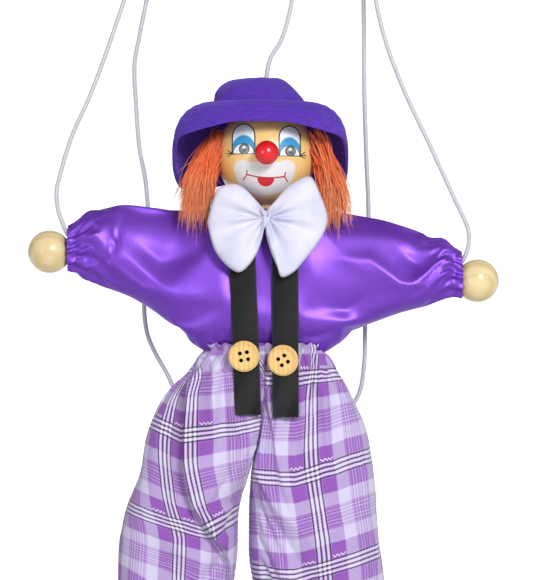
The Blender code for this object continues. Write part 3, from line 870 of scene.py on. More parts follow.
def studio():
    scene = bpy.context.scene
    scene.view_settings.view_transform = "Standard"
    world = bpy.data.worlds.new("studio")
    world.use_nodes = True
    sky = world.node_tree.nodes["Background"]
    sky.inputs[0].default_value = (1, 1, 1, 1)
    sky.inputs[1].default_value = 0.14
    scene.world = world
    paper = Finish("paper")
    x, y, z = paper.place()
    grain = paper.noise(paper.vector(x, y, z), 40.0, 3.0)
    glow = 0.14 + 0.8 * (y.ramp(-0.1, 0.6) * abs(x).ramp(1.5, 0.8) * z.ramp(1.5, 0.8))
    paper.set(base_color=paper.blend(grain, (0.7, 0.7, 0.7), (0.68, 0.68, 0.68)),
              roughness=0.9, emission_color=(1.0, 1.0, 1.0), emission_strength=glow)
    profile = [(0.0, 0.0), (BOWL_FLOOR, 0.0)]
    for k in range(1, 25):
        turn = math.pi / 2 * k / 24
        profile.append((BOWL_FLOOR + BOWL_CURVE * math.sin(turn),
                        BOWL_CURVE - BOWL_CURVE * math.cos(turn)))
    profile.append((BOWL_FLOOR + BOWL_CURVE, BOWL_HEIGHT))

    def point(i, j):
        out, up = profile[i]
        turn = TURN * j / 96
        return out * math.cos(turn), out * math.sin(turn), up + FLOOR

    surface("backdrop", patch(len(profile), 96, point), lambda i, j: (j, i),
                     [paper.material])
    lamp("key", (0.45, -1.25, 0.32), (0, 0, -0.26), 0.34, 16.0)
    lamp("fill", (-0.9, -1.1, -0.1), (0, 0, -0.27), 0.5, 3.0)


# ---------------------------------------------------------------- strings

ROUTES = {
    # kind and side of the string: x of its hole, way down to the puppet as (x, depth, y)
    ("head", ""): (0, (
        (2.5, -110, 0), (8, -72, 0), (11.5, -40, 0), (7.6, -19, 0), (1.8, -8, 0),
        (0, 2, 0), (0, 12, 0), (0, 44.9, 0))),
    ("hand", "_left"): (-46, (
        (-46.5, -112, 0), (-50.5, -76, 0), (-57, -44, 0), (-64.7, -19.3, -1),
        (-73.9, 5.9, -1), (-82.3, 24.8, -1), (-87.4, 41.6, -1), (-88.8, 49, -1),
        (-88, 56.5, -1), (-85.9, 62.4, -1), (-84.4, 65.6, -1), (-83.2, 67.4, -1))),
    ("hand", "_right"): (46, (
        (45.3, -112, 0), (44.6, -76, 0), (45.2, -44, 0), (49.6, -19.3, -1),
        (58.2, 4.5, -1), (69.2, 28, -1), (79.8, 51, -1), (85.3, 63, -1),
        (86.1, 69, -1), (85.3, 73, -1), (83.9, 76.6, -1), (82.4, 78.4, -1))),
    ("knee", "_left"): (-36, (
        (-37.5, -112, 1), (-43, -76, 5), (-49, -44, 9), (-54.2, -19.3, 13),
        (-56.5, -6, 15), (-55.9, 10, 17), (-54.6, 28, 18.5), (-51.6, 46, 20),
        (-50.6, 70, 20), (-52.6, 92, 20.5), (-51.7, 106.7, 21), (-48.4, 116, 21.5),
        (-41.6, 128.5, 22.5), (-36, 143, 23.2), (-33, 155, 22.4), (-32, 163, 21.2))),
    ("knee", "_right"): (36, (
        (36.8, -112, 1), (39.4, -76, 5), (41.3, -44, 9), (42, -19.3, 13),
        (42.3, 6, 16), (43.2, 32, 18.5), (44.2, 57, 20), (43.6, 82, 20.5),
        (42.8, 104.6, 21), (42.4, 122, 22), (39.6, 136, 23.4), (30, 148, 23.2),
        (22, 157, 22.2), (19.5, 165, 21.2))),
}


# a knot's cord is thinner, being pulled tight
KNOT_CORD = 0.85
KNOT_REACH = 2.45


def overhand(name, centre, axis, tail):
    """A pulled-tight knot: a small closed lump of cord, with a cut tail on top."""
    axis = Vector(axis).normalized()
    side = axis.orthogonal().normalized()
    up = axis.cross(side)
    size = (KNOT_REACH - KNOT_CORD) / 3
    loop = []
    for k in range(97):
        t = TURN * k / 96
        flat = side * (math.sin(t) + 2 * math.sin(2 * t)) + up * (
            math.cos(t) - 2 * math.cos(2 * t))
        loop.append(centre + (flat * size - axis * math.sin(3 * t) * 0.75) * MM)
    stub = [centre + (axis * (0.4 + k * 0.3) + side * (0.05 * k)) * MM
            for k in range(round(tail / 0.3) + 1)]
    lump = tube(name, loop, KNOT_CORD * MM, 12, BRAID, ends=False)
    end = tube(name + "_tail", stub, CORD_RADIUS * 0.9 * MM, 12, BRAID)
    join(lump, [end])
    return lump


def braid_relief(turns, along):
    one = np.sin(BRAID_STRANDS * turns + along * BRAID_SLANT)
    two = np.sin(BRAID_STRANDS * turns - along * BRAID_SLANT)
    return 0.05 * one * two


def strings():
    for (kind, side), (hole, places) in ROUTES.items():
        name = f"{kind}_string{side}"
        limb = side[1:]
        top = Vector((hole * MM, 0, CROSS_UNDER + 0.1 * MM))
        below = Vector((hole * MM, 0, CROSS_UNDER - 4 * MM))
        route = [top, below] + [at(*place) for place in places]
        path = smooth_curve(route, 0.5 * MM)
        made = tube(name + "_braid", path, CORD_RADIUS * MM, 12, BRAID, relief=braid_relief)
        length = sum((b - a).length for a, b in zip(path, path[1:]))
        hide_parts(name)
        top_name = f"knot_{kind}{side}"
        knot = overhand(top_name + "_tied", Vector((hole * MM, 0, CROSS_TOP + 2.0 * MM)),
                        (0, 0, 1), 3.0 if kind != "head" else 1.2)
        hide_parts(top_name)
        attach(knot, "control")
        held_end = [Vector((hole * MM, 0, mix(CROSS_UNDER, CROSS_TOP + 0.6 * MM, k / 8)))
                    for k in range(9)]
        end = tube(top_name + "_shank", held_end, CORD_RADIUS * MM, 12, BRAID, ends=False)
        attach(end, "control")
        if kind == "head":
            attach(made, "torso")
        if kind == "hand":
            at(SIGN[limb] * 48, -18)
            at(SIGN[limb] * 84, 60)
            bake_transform(made)
        if kind == "knee":
            at(0, 112)
            at(0, 158)
            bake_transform(made)
            low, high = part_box("knee_tie" + side)
            middle = (Vector(low) + Vector(high)) / 2
            tie = overhand(f"knee_tie{side}_tied", middle, (0, 0.2, -1), 2.4)
            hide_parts("knee_tie" + side)
            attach(tie, "thigh" + side)


# ---------------------------------------------------------------- control

def control():
    for node, finish in (("grip_bar", BAR_WOOD_ALONG), ("crossbar", BAR_WOOD_ACROSS),
                         ("brad_left", STEEL), ("brad_right", STEEL),
                         ("torso_block", DOWEL_WOOD), ("neck_peg", DOWEL_WOOD)):
        finish_node(node, finish)
    for side in SIDES:
        for limb in ("shoulder", "hip", "arm", "thigh", "knee", "shin"):
            finish_node(f"{limb}_eye_{side}", STEEL)
        for limb in ("arm", "thigh", "shin"):
            finish_node(f"{limb}_dowel_{side}", DOWEL_WOOD)


def finish_node(node, finish):
    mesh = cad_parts[node].data
    mesh.materials.clear()
    mesh.materials.append(finish)


# ---------------------------------------------------------------- head

# radii of the head's bores for the string and the neck, and the depth where they meet
STRING_BORE = 1.6
NECK_BORE = 4.4
NECK_BORE_TOP = 45
NOSE_RADIUS = 5


def head():
    top = math.degrees(math.asin(STRING_BORE / HEAD_RADIUS))
    bottom = 180 - math.degrees(math.asin(NECK_BORE / HEAD_RADIUS))
    roof = HEAD_DEPTH - NECK_BORE_TOP
    profile = ball_profile(HEAD_RADIUS, top, bottom, 64)
    profile += [(NECK_BORE, -18), (NECK_BORE, roof - 0.4), (NECK_BORE - 0.4, roof),
                (STRING_BORE, roof), (STRING_BORE, 0)]
    profile.append(profile[0])
    ball = lathe("painted_ball", at(0, HEAD_DEPTH), (0, 0, 1), profile, HEAD_PAINT, 128)
    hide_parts("head_ball")
    nose_y = -(HEAD_RADIUS + 0.3 + NOSE_RADIUS)
    nose = lathe("round_nose", at(0.3, 32.9, nose_y), (0, -1, 0),
                 ball_profile(NOSE_RADIUS + 0.02, 0, 180, 32), NOSE_RED, 64)
    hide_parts("nose_bead")
    for piece in (ball, nose):
        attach(piece, "head")
    hat()
    for side in SIDES:
        hair(side)


def hat():
    """Soft felt hat: crown and stitched brim."""
    crown_x = through((0, 0), (9, -3.6), (14.5, -4.4), (17.6, -4), (19.4, -2.9), (30, -2.4))
    steps = [(1.7, 0.3), (5, 0.15), (8.6, 0.5), (11.8, 1.3), (14.4, 2.9), (16.4, 4.9),
             (17.9, 7), (18.8, 8.8), (19.2, 9.8)]
    crown_rows = smooth_profile(steps, 22)
    brim_rows = 44
    count = 180

    def crown(i, j):
        radius, depth = crown_rows[i]
        turn = TURN * j / count
        wave = noise.noise(Vector((math.cos(turn) * 1.6, math.sin(turn) * 1.6, depth * 0.2)))
        size = radius * (1 + 0.018 * wave * ease(radius, 4, 12))
        sag = depth + 0.7 * wave * ease(radius, 3, 10)
        return at(crown_x(radius) + size * math.cos(turn), max(0.15, sag),
                  size * math.sin(turn))

    def brim(i, j):
        share = i / brim_rows
        turn = TURN * j / count
        # degrees round from the front
        side = math.degrees(math.acos(max(-1.0, min(1.0, -math.sin(turn)))))
        reach = 28 + 9.6 * ease(side, 12, 74) - 2.5 * ease(side, 110, 180)
        drop = 20 + 5 * ease(side, 20, 70) + 22 * ease(side, 62, 118)
        drop -= 5 * ease(side, 125, 180)
        stitch = 0.07 * math.cos(share * TURN * 6.5) * ease(share, 0.1, 0.2)
        wave = noise.noise(Vector((math.cos(turn) * 2.2, math.sin(turn) * 2.2, 3.7)))
        radius = mix(19.2, reach, math.sin(share * math.pi / 2) ** 0.8) + stitch
        radius += 0.7 * wave * share
        depth = mix(10.4, drop, share ** 1.8) - stitch + 0.5 * wave * share
        return at(mix(-2.9, -2.4, ease(share, 0, 0.3)) + radius * math.cos(turn), depth,
                  radius * math.sin(turn))

    grid = np.concatenate([patch(len(crown_rows), count, crown),
                           patch(brim_rows + 1, count, brim)])
    made = shell("felt_hat", grid, lambda i, j: (j / count, i / len(grid)), FELT, 1.5 * MM)
    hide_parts("hat")
    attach(made, "head")


def smooth_profile(keys, count):
    """Even steps along a smooth outline, as (radius, depth)."""
    points = smooth_curve([Vector((*key, 0)) for key in keys], 0.1)
    return [points[round(k * (len(points) - 1) / count)].xy for k in range(count + 1)]


CLUMPS = 66
CLUMP_STRANDS = 16
STRAND_PARTS = 9


def hair(side):
    """Tapering strands in clumps, from under the brim to the shoulder."""
    rng = random.Random(f"hair {side}")
    sign = SIGN[side]
    spread = 2.6 if side == "left" else 0.8
    points, faces, corners = [], [], []
    for _ in range(CLUMPS):
        share = rng.random()
        root = Vector((sign * rng.uniform(18.6, 21.6), rng.uniform(24, 36),
                       rng.uniform(-9, 7)))
        out = rng.uniform(23, 34 + spread)
        fall = rng.uniform(49, 63) - 5 * abs(share - 0.5)
        front = rng.uniform(-14, 4) if fall < 54 else rng.uniform(-15, -11.5)
        tip = Vector((sign * out, fall, front))
        middle = Vector((sign * mix(24, out + 1.5, 0.75), mix(root.y, fall, 0.42),
                         mix(root.z, front, 0.55) - 1.5))
        sway = Vector((rng.uniform(-2.6, 2.6), 0, rng.uniform(-1.5, 1)))
        for _ in range(CLUMP_STRANDS):
            scatter = Vector((rng.gauss(0, 1), rng.gauss(0, 1.6), rng.gauss(0, 1)))
            base = root + scatter * 1.1
            end = tip + sway * rng.uniform(-0.5, 1) + Vector(
                (rng.gauss(0, 1.3), rng.gauss(0, 3.0), rng.gauss(0, 0.8)))
            end.z = min(end.z, -11.0) if end.y > 54 else end.z
            bend = middle + scatter * 1.2
            shade = rng.random()
            strand(points, faces, corners, base, bend, end, shade, rng)
    made = new_object("hair_strands_" + side, points, faces, corners, [FUR])
    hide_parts("hair_" + side)
    at(0, 62)
    at(0, 40)
    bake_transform(made)


def strand(points, faces, corners, base, bend, end, shade, rng):
    wide = rng.uniform(0.16, 0.3)
    kink = Vector((rng.gauss(0, 0.35), 0, rng.gauss(0, 0.35)))
    start = len(points)
    for k in range(STRAND_PARTS + 1):
        t = k / STRAND_PARTS
        spot = base * (1 - t) ** 2 + bend * 2 * t * (1 - t) + end * t * t
        spot = spot + kink * math.sin(t * 9)
        size = wide * (1 - t) ** 0.6 + 0.03
        for corner in range(3):
            turn = TURN * corner / 3
            points.append(at(spot.x + size * math.cos(turn), spot.y,
                             spot.z + size * math.sin(turn)))
    for k in range(STRAND_PARTS):
        for corner in range(3):
            a = start + 3 * k + corner
            b = start + 3 * k + (corner + 1) % 3
            faces.append((a, b, b + 3, a + 3))
            corners += [(k / STRAND_PARTS, shade)] * 2
            corners += [((k + 1) / STRAND_PARTS, shade)] * 2


# ---------------------------------------------------------------- shirt

SHIRT = (
    # x, top depth, bottom depth, half depth in y, roundness
    (-84, 63.2, 81.6, 8.2, 2.0), (-82.2, 62.6, 82.2, 8.4, 2.0), (-80.6, 61.6, 82.4, 7.6, 2.0),
    (-78.6, 59.8, 84, 8.4, 2.0), (-74, 56.9, 86.6, 9.6, 2.0), (-67, 55, 88.4, 10.6, 2.1),
    (-58, 53.4, 91.8, 11.4, 2.1), (-47, 54.2, 98.2, 12.2, 2.1), (-37, 55.6, 107, 12.6, 2.2),
    (-30, 55.6, 113.4, 12.8, 2.3), (-24, 55.3, 116.4, 12.8, 2.6), (-14, 55, 117, 13.4, 3.0),
    (0, 55, 117.2, 13.6, 3.0), (14, 55.8, 117, 13.4, 3.0), (24, 56.8, 116.4, 12.8, 2.6),
    (30, 57.2, 113.2, 12.8, 2.3), (38, 58, 106.8, 12.6, 2.2), (48, 59.3, 102.1, 12.2, 2.1),
    (58, 62.2, 98.4, 11.4, 2.1), (68, 66.3, 95.9, 10.6, 2.1), (74, 68.4, 94.2, 9.6, 2.0),
    (77.6, 70.4, 93, 8.4, 2.0), (79.6, 72.4, 92.6, 7.6, 2.0), (81.4, 73.6, 92.9, 8.4, 2.0),
    (83, 74.4, 93.3, 8.2, 2.0))
SHIRT_COLUMNS = 112
SATIN_ROUND = 0.16
SATIN_FOLDS = {
    # line of (distance out, depth), width, height in millimetres
    "left": ((((18, 94), (37, 92), (48, 85), (60, 74)), 4.2, 1.9),
             (((30, 74), (44, 77), (56, 68)), 6, -2.2),
             (((61, 55), (62.5, 64), (66, 76), (72, 85)), 1.6, -1.9),
             (((66, 58), (70, 64), (75, 70)), 3.4, 1.6), (((70, 74), (77, 77)), 2.6, -1.6),
             (((66, 84), (50, 96), (34, 104)), 3.6, -1.2),
             (((17, 74), (19, 88), (16, 104)), 5, 0.8),
             (((20, 62), (38, 60), (54, 60)), 4.5, 0.9)),
    "right": ((((56, 72), (63, 78), (68, 82)), 4.6, -2.4),
              (((77, 79), (68, 88), (56, 86), (44, 77), (30, 76)), 3.6, 1.9),
              (((26, 97), (34, 97), (42, 92)), 3.2, -2.1),
              (((22, 105), (38, 102), (54, 95), (68, 93)), 3, 1.3),
              (((14, 110), (22, 109), (30, 105)), 2.6, -2.0),
              (((18, 70), (20, 84), (17, 98)), 5.5, 0.9),
              (((34, 66), (52, 66), (66, 71)), 3.6, 1.0)),
}
LOW_BELLY = through((-84, 1.0), (-74, 1.0), (-66, 0.85), (-58, 0.62), (-47, 0.52), (-37, 0.56),
                    (-24, 0.8), (0, 0.9), (24, 0.85), (38, 0.72), (50, 0.68), (62, 0.62),
                    (72, 0.85), (78, 1.0), (83, 1.0))


def shirt():
    top, bottom, half, square = columns(SHIRT)
    xs = stations(SHIRT[0][0], SHIRT[-1][0], lambda x: 0.8 if abs(x) > 72 else 1.6)
    middle = closest(xs, 0)
    xs[middle] = 0

    def point(i, j):
        x = xs[i]
        pleat = ease(abs(x), 67, 79)
        high, low = top(x), bottom(x)
        turn = TURN * (j + 0.5) / SHIRT_COLUMNS
        across = signed_power(math.cos(turn), 2 / square(x))
        down = signed_power(math.sin(turn), 2 / square(x))
        depth = mix(high, low, (0.5 + 0.5 * down) ** LOW_BELLY(x))
        # the back repeats the front's folds, weaker and 7 mm further in
        flip, shift = (1, 0) if across > 0 else (0.7, 7)
        fold = 0.0
        for line, width, height in SATIN_FOLDS["left" if x < 0 else "right"]:
            fold += ridge(abs(x) + shift, depth, line, width, height * flip)
        fold += 0.55 * math.sin(x * 1.25 + 0.8 * math.sin(x * 0.4)) * ease(
            depth, 104, 114) * ease(abs(x), 34, 28)
        tight = 1 + 0.075 * pleat * math.sin(11 * turn + 1.6 * math.sin(2 * turn))
        tight += 0.03 * pleat * math.sin(23 * turn + x)
        centre = (high + low) / 2
        return at(x, centre + (depth - centre) * tight, -(half(x) + fold) * across * tight)

    grid = patch(len(xs), SHIRT_COLUMNS, point)

    def held(i, j):
        x = xs[i]
        depth = (HAT_TOP - grid[i, j][2]) / MM
        cuffs = ease(abs(x), 70, 78)
        waist = ease(depth, 108, 113) * (1 if abs(x) < 30 else 0)
        neck = ease(depth, 62, 57) if abs(x) < 20 else 0
        return max(0.02, cuffs, waist, neck)

    grid = drape(grid, held, growth=0.012, cap=1.0, pull=0.2, bend=4.0)

    def uv(i, j):
        return (j / SHIRT_COLUMNS * SATIN_ROUND, (xs[i] - xs[0]) * MM)

    halves = {"left": (0, middle), "right": (middle, len(xs) - 1)}
    for side, used in halves.items():
        made = shell("satin_shirt_" + side, grid, uv, SATIN, 0.4 * MM, used)
        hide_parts("sleeve_" + side, *(["shirt_body"] if side == "left" else []))
        pivot = at(*SHOULDER[side])
        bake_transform(made)


# ---------------------------------------------------------------- trousers

LEGS = {
    # depth, left x, right x, half depth in y
    "left": ((112.6, -28.2, 0.2, 13.4), (115.4, -25.9, 0.2, 12.8), (118, -28.6, 0.2, 13.8),
             (121.8, -31.4, 0.2, 14.4), (128, -40, 0.0, 15.7), (138, -47.6, -0.9, 17),
             (152, -52.6, -3.1, 18), (166, -54.6, -6.9, 18), (173, -57, -9.0, 17.8),
             (179, -59.4, -11.2, 17.6), (187, -61.3, -12.3, 17.2), (200, -62.8, -12.6, 17),
             (216, -63.2, -14.6, 17), (232, -62, -17.6, 16.6), (243, -60.4, -20, 16)),
    "right": ((112.6, -1.2, 25.4, 13.4), (115.4, -1.2, 23.9, 12.8), (118, -1.2, 26.2, 13.8),
              (121.8, -1.2, 28.8, 14.4), (128, -1.2, 34, 15.7), (138, -1.5, 39.8, 17),
              (152, -2.9, 44.8, 18), (166, -6.0, 46.2, 18), (173, -6.6, 46.4, 17.8),
              (179, -6.8, 46.6, 17.6), (187, -6.9, 47.6, 17.2), (200, -6.8, 49.1, 17),
              (216, -5, 50, 17), (232, -1.2, 49.6, 16.6), (243, 1.4, 48.4, 16)),
}
TROUSER_FOLDS = {
    # line of (x, depth), width, height in millimetres
    "left": ((((-22, 119), (-24, 136), (-23, 156)), 2.8, 2.0),
             (((-12, 120), (-14, 136), (-13, 152)), 2.4, 1.4),
             (((-17, 119), (-18.5, 134), (-18, 148)), 1.8, -1.9),
             (((-4, 142), (-12, 160), (-24, 178)), 3.4, 2.4),
             (((-2, 132), (-4, 150), (-9, 168)), 2.8, -2.6),
             (((-43, 130), (-48, 150), (-50, 178)), 3.4, 1.7),
             (((-38, 124), (-42, 142), (-44, 164)), 2.6, -1.9),
             (((-14, 178), (-25, 188), (-40, 198)), 3.6, 2.4),
             (((-52, 186), (-40, 196), (-22, 206)), 4, 1.7),
             (((-19, 166), (-26, 178), (-33, 188)), 3, -2.2),
             (((-55, 196), (-56, 214), (-54, 230)), 3.4, 1.4),
             (((-34, 206), (-36, 220), (-35, 238)), 3.4, -1.6)),
    "right": ((((24.5, 118), (26, 134), (26, 154)), 2.0, 2.1),
              (((20, 117), (20.8, 130), (21, 146)), 1.6, -2.5),
              (((14, 119), (15, 134), (16, 154)), 2.4, 1.6),
              (((9, 120), (9.5, 134), (8, 148)), 1.8, -1.8),
              (((31, 120), (36, 138), (39, 158)), 2.8, 1.8),
              (((4, 138), (4.5, 154), (9, 172)), 2.8, 2.0),
              (((-3, 168), (6, 180), (20, 194)), 3, 2.5),
              (((-1, 180), (8, 190), (16, 204)), 2.8, -2.2),
              (((40, 142), (43, 162), (43, 186)), 3.4, 1.5),
              (((10, 150), (18, 164), (30, 178)), 4, -2.0),
              (((38, 180), (26, 192), (10, 206)), 4, 1.9),
              (((30, 204), (32, 220), (30, 238)), 3.4, -1.6)),
}
# the edge of the left leg's big fold, as x at a depth
FOLD_LINE = through((112, -31), (134, -35), (162, -36), (176, -33), (191, -25), (206, -16))
# where the plaid's dark line group runs down the front of each leg, as x at a depth
LINE_GROUP = {"left": through((118, -27.6), (134, -31.6), (157, -32.6), (176, -29.6),
                              (195, -24.6), (215, -26), (243, -33)),
              "right": through((118, 20.6), (149, 19.7), (200, 25.6), (243, 28.0))}
OUTLINE_STEPS = 720
LEG_COLUMNS = 168
# the column on the edge of the left leg's big fold
FOLD_COLUMN = 36
# the width that a leg is cut to
CUT_ROUND = 0.150
LEG_TOP = 112.6
LEG_SPLIT = 164
LEG_HEM = 243
# where a leg's plaid starts to repeat, as a depth
PLAID_DROP = {"left": 150.0, "right": 168.0}


def leg_ring(side, depth, left, right, half):
    """A leg's outline at one depth, in columns from the outer side forward.

    It is an oval whose inner side is a flat wall above the crotch. Each column has its x and y,
    its way out in x and in y, and its share of the way round."""
    sign = SIGN[side]
    low = ease(depth, 154, 182)
    inner_shape = mix(7.0, 2.3, low)
    outer_shape = mix(2.2, 2.3, low)
    outer_share = mix(1.5, 1.0, low)
    middle = (left + right) / 2 - sign * (right - left) / 4 * (1 - low)
    wide = (right - left) / 2
    fine = []
    for k in range(OUTLINE_STEPS + 1):
        turn = TURN * k / OUTLINE_STEPS
        c, s = math.cos(turn), math.sin(turn)
        shape = inner_shape if c < 0 else outer_shape
        reach = wide * (outer_share if c > 0 else 2 - outer_share)
        fine.append((middle + sign * reach * signed_power(c, 2 / shape),
                     -half * signed_power(s, 2 / shape)))
    fine = np.array(fine)
    along = np.concatenate([[0], np.cumsum(np.hypot(*np.diff(fine, axis=0).T))])
    wanted = np.arange(LEG_COLUMNS) / LEG_COLUMNS * along[-1]
    if side == "left":
        front = slice(0, OUTLINE_STEPS // 2 + 1)
        edge = np.interp(max(FOLD_LINE(depth), left + 4), fine[front, 0], along[front])
        wanted[:FOLD_COLUMN] = np.linspace(0, edge - 0.35, FOLD_COLUMN)
        wanted[FOLD_COLUMN:] = np.linspace(edge, along[-1], LEG_COLUMNS - FOLD_COLUMN + 1)[:-1]
    xs = np.interp(wanted, along, fine[:, 0])
    ys = np.interp(wanted, along, fine[:, 1])
    ahead = np.stack([np.roll(xs, -1) - np.roll(xs, 1), np.roll(ys, -1) - np.roll(ys, 1)], 1)
    ahead /= np.linalg.norm(ahead, axis=1, keepdims=True)
    return xs, ys, ahead[:, 1] * -sign, ahead[:, 0] * sign, wanted / along[-1]


def leg_fold(side, x, depth, front, tucked):
    """How far the cloth stands off its plain shape, in millimetres."""
    if not front:
        return 0.9 * math.sin(x * 0.32 + depth * 0.05) * ease(depth, 124, 150)
    fold = sum(ridge(x, depth, *shape) for shape in TROUSER_FOLDS[side])
    if side == "left":
        step = -3.4 * ease(x, -60, -44) if tucked else 2.2 * ease(x, -6, -22)
        fold += step * ease(depth, 116, 126) * ease(depth, 236, 206)
    return fold


def trousers():
    for side in SIDES:
        left, right, half = columns(LEGS[side])
        depths = stations(LEG_TOP, LEG_HEM, lambda depth: 0.7 if depth < 124 else 1.25)
        split = closest(depths, LEG_SPLIT)
        grid = np.empty((len(depths), LEG_COLUMNS, 3))
        wall = np.zeros((len(depths), LEG_COLUMNS), dtype=bool)
        sign = SIGN[side]
        start, shares = [], []
        for i, depth in enumerate(depths):
            gather = ease(depth, 136, 118)
            xs, ys, outs, backs, along = leg_ring(side, depth, left(depth), right(depth),
                                                  half(depth))
            inner = left(depth) if sign > 0 else right(depth)
            front = slice(0, LEG_COLUMNS // 2 - 4)
            start.append(np.interp(LINE_GROUP[side](depth) * -sign, xs[front] * -sign,
                                   along[front]))
            shares.append(along)
            for j in range(LEG_COLUMNS):
                x, y = xs[j], ys[j]
                # the drape leaves the cloth between the legs where it is
                near_wall = abs(x - inner)
                close = near_wall < 0.8 if depth < 170 else near_wall < 4 and depth < 222
                wall[i, j] = close and abs(y) < half(depth) - 2.5
                share = along[j] * TURN
                fold = leg_fold(side, x, depth, y < 0, j < FOLD_COLUMN)
                pleat = math.sin(19 * share + 1.4 * math.sin(3 * share)) * gather * 0.9
                pleat += math.sin(41 * share) * 0.3 * gather
                ruffle = ease(depth, 115.2, 112.8) * 0.8 * math.sin(27 * share + 2)
                free = ease(near_wall, 0.5, 4) if depth < 176 else 1
                out = (fold + pleat + ruffle) * free
                lift = 0.5 * math.sin(19 * share + 0.6) * ease(depth, 114.5, 112.6)
                grid[i, j] = at(x + outs[j] * out * 0.5, depth + lift, y + backs[j] * out)

        def held(i, j):
            depth = depths[i]
            return max(0.02, ease(depth, 124, 119), ease(depth, 234, 241),
                       0.95 if wall[i, j] else 0)

        def no_wall(i, j):
            return depths[i] < 122 and wall[i, j] and wall[i, (j + 1) % LEG_COLUMNS]

        grid = drape(grid, held, growth=0.04, cap=2.0, pull=0.3, bend=1.0)

        def uv(i, j):
            depth, x = depths[i], grid[i, j % LEG_COLUMNS, 0] / MM
            share = 1.0 if j == LEG_COLUMNS else shares[i][j]
            across = (share - start[i]) * CUT_ROUND * -sign
            if side == "left":
                beside = x - FOLD_LINE(depth)
                rise = 0.4 if j < FOLD_COLUMN else mix(0.1, 0.4, ease(depth, 140, 190))
                lean = rise * abs(beside) * ease(depth, 230, 205)
                if j < FOLD_COLUMN:
                    across -= 0.028 * ease(depth, 114, 120) * ease(depth, 243, 212)
            else:
                lean = 0.3 * max(0.0, x - 12) * ease(depth, 116, 140)
            return (across, (depth - PLAID_DROP[side] + lean) * MM)

        thigh, shin = "thigh_" + side, "shin_" + side
        pieces = (("upper", (0, split), "trouser_thigh_", "torso", thigh, (118, 150), 0.052,
                   "hip_eye_"),
                  ("lower", (split, len(depths) - 1), "trouser_shin_", thigh, shin, (174, 202),
                   0.079, "knee_eye_"))
        for part, used, node, above, below, span, length, rest in pieces:
            made = shell(f"plaid_leg_{part}_{side}", grid, uv, PLAID, 0.5 * MM, used,
                         skip=no_wall)
            waist = ["waistband"] if part == "upper" and side == "left" else []
            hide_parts(node + side, *waist)
            knee_x = KNEE[side][0]
            at(knee_x, span[0])
            at(knee_x, span[1])
            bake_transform(made)


# ---------------------------------------------------------------- bow, braces, buttons

BOW = {
    "left": ((-0.7, 56.2), (-3.2, 53.5), (-7.4, 48.9), (-11.6, 45.9), (-15.8, 45.8), (-20, 47.5),
             (-21.8, 51.4), (-24.4, 60.5), (-24.1, 64), (-22.1, 71.7), (-19.3, 76.6),
             (-15.1, 80.8), (-10.9, 82.5), (-6.7, 79), (-3.2, 73.1), (-0.9, 64.9)),
    "right": ((0.5, 56.2), (3.1, 53.5), (8, 47.9), (12.9, 44.4), (17.8, 42.4), (20.2, 44.4),
              (22.7, 50), (25.1, 56.3), (25.7, 60.5), (24.4, 65.4), (20.6, 71.7), (15.7, 78),
              (11.5, 82.5), (6.6, 84.6), (4.5, 80), (1.7, 73), (-0.2, 64.9)),
}


BOW_PLANE = -19.6
BOW_RINGS = 26


def bow():
    for side in SIDES:
        outline = [Vector((x, h, 0)) for x, h in BOW[side]]
        edge = smooth_curve(outline + [outline[0]], 0.6)[:-1]
        knot = Vector((SIGN[side] * 0.9, 59.8, 0))
        # rings shrink over the front to the knot, and grow again over the back
        spots = [1 - k / BOW_RINGS for k in range(BOW_RINGS + 1)]
        rings = [(share, 1) for share in spots] + [(share, -1) for share in spots[-2::-1]]

        def point(i, j):
            share, front = rings[i]
            rim = edge[j]
            spot = knot.lerp(rim, share)
            angle = math.atan2(rim.y - knot.y, abs(rim.x - knot.x))
            puff = math.sin(math.pi * min(1.0, share ** 1.25)) ** 0.6 * 2.7
            puff += 0.55 * math.sqrt(max(0.0, 1 - share ** 6))
            crease = math.sin(angle * 9 + 0.9 * math.sin(angle * 4) + front)
            crease = crease * (1 - share) ** 0.6 * min(1, share * 5) * 1.9
            curl = 0.5 * math.sin(angle * 3.1 + 1.0) * share
            return at(spot.x, spot.y, BOW_PLANE - front * (puff + crease * 0.8) + curl)

        grid = patch(len(rings), len(edge), point)

        def uv(i, j):
            place = grid[i, j % len(edge)]
            return (place[0], place[2])

        made = surface("soft_bow_" + side, grid, uv, [WHITE])
        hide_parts("bow_" + side)
        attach(made, "torso")

    def point(i, j):
        turn = math.pi * i / 32
        around = TURN * j / 48
        wide = (1.9 + 0.16 * math.sin(around * 7)) * math.sin(turn) ** 0.6
        deep = 3.1 * math.sin(turn) ** 0.5
        return at(-0.2 + wide * math.cos(around), 60.6 - 3.9 * math.cos(turn),
                  BOW_PLANE + deep * math.sin(around))

    knot = surface("soft_bow_knot", patch(33, 48, point),
                   lambda i, j: (j * 0.0003, i * 0.0003), [WHITE])
    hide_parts("bow_knot")
    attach(knot, "torso")


STRAPS = {
    # x at the top, x at the hem, depth of the hem
    "left": (-10.6, -7.4, 142.0), "right": (8.0, 8.2, 143.0)}
STRAP_TOP = 59
STRAP_HALF = 5.5
STRAP_ROWS = 110
STRAP_COLUMNS = 16
# how far the ribbon stands in front of the middle plane, by depth
FORWARD = through((59, 14.4), (75, 14.6), (95, 14.7), (107, 15), (113, 15.6), (119, 16),
                  (130, 18.2), (143, 19.4))


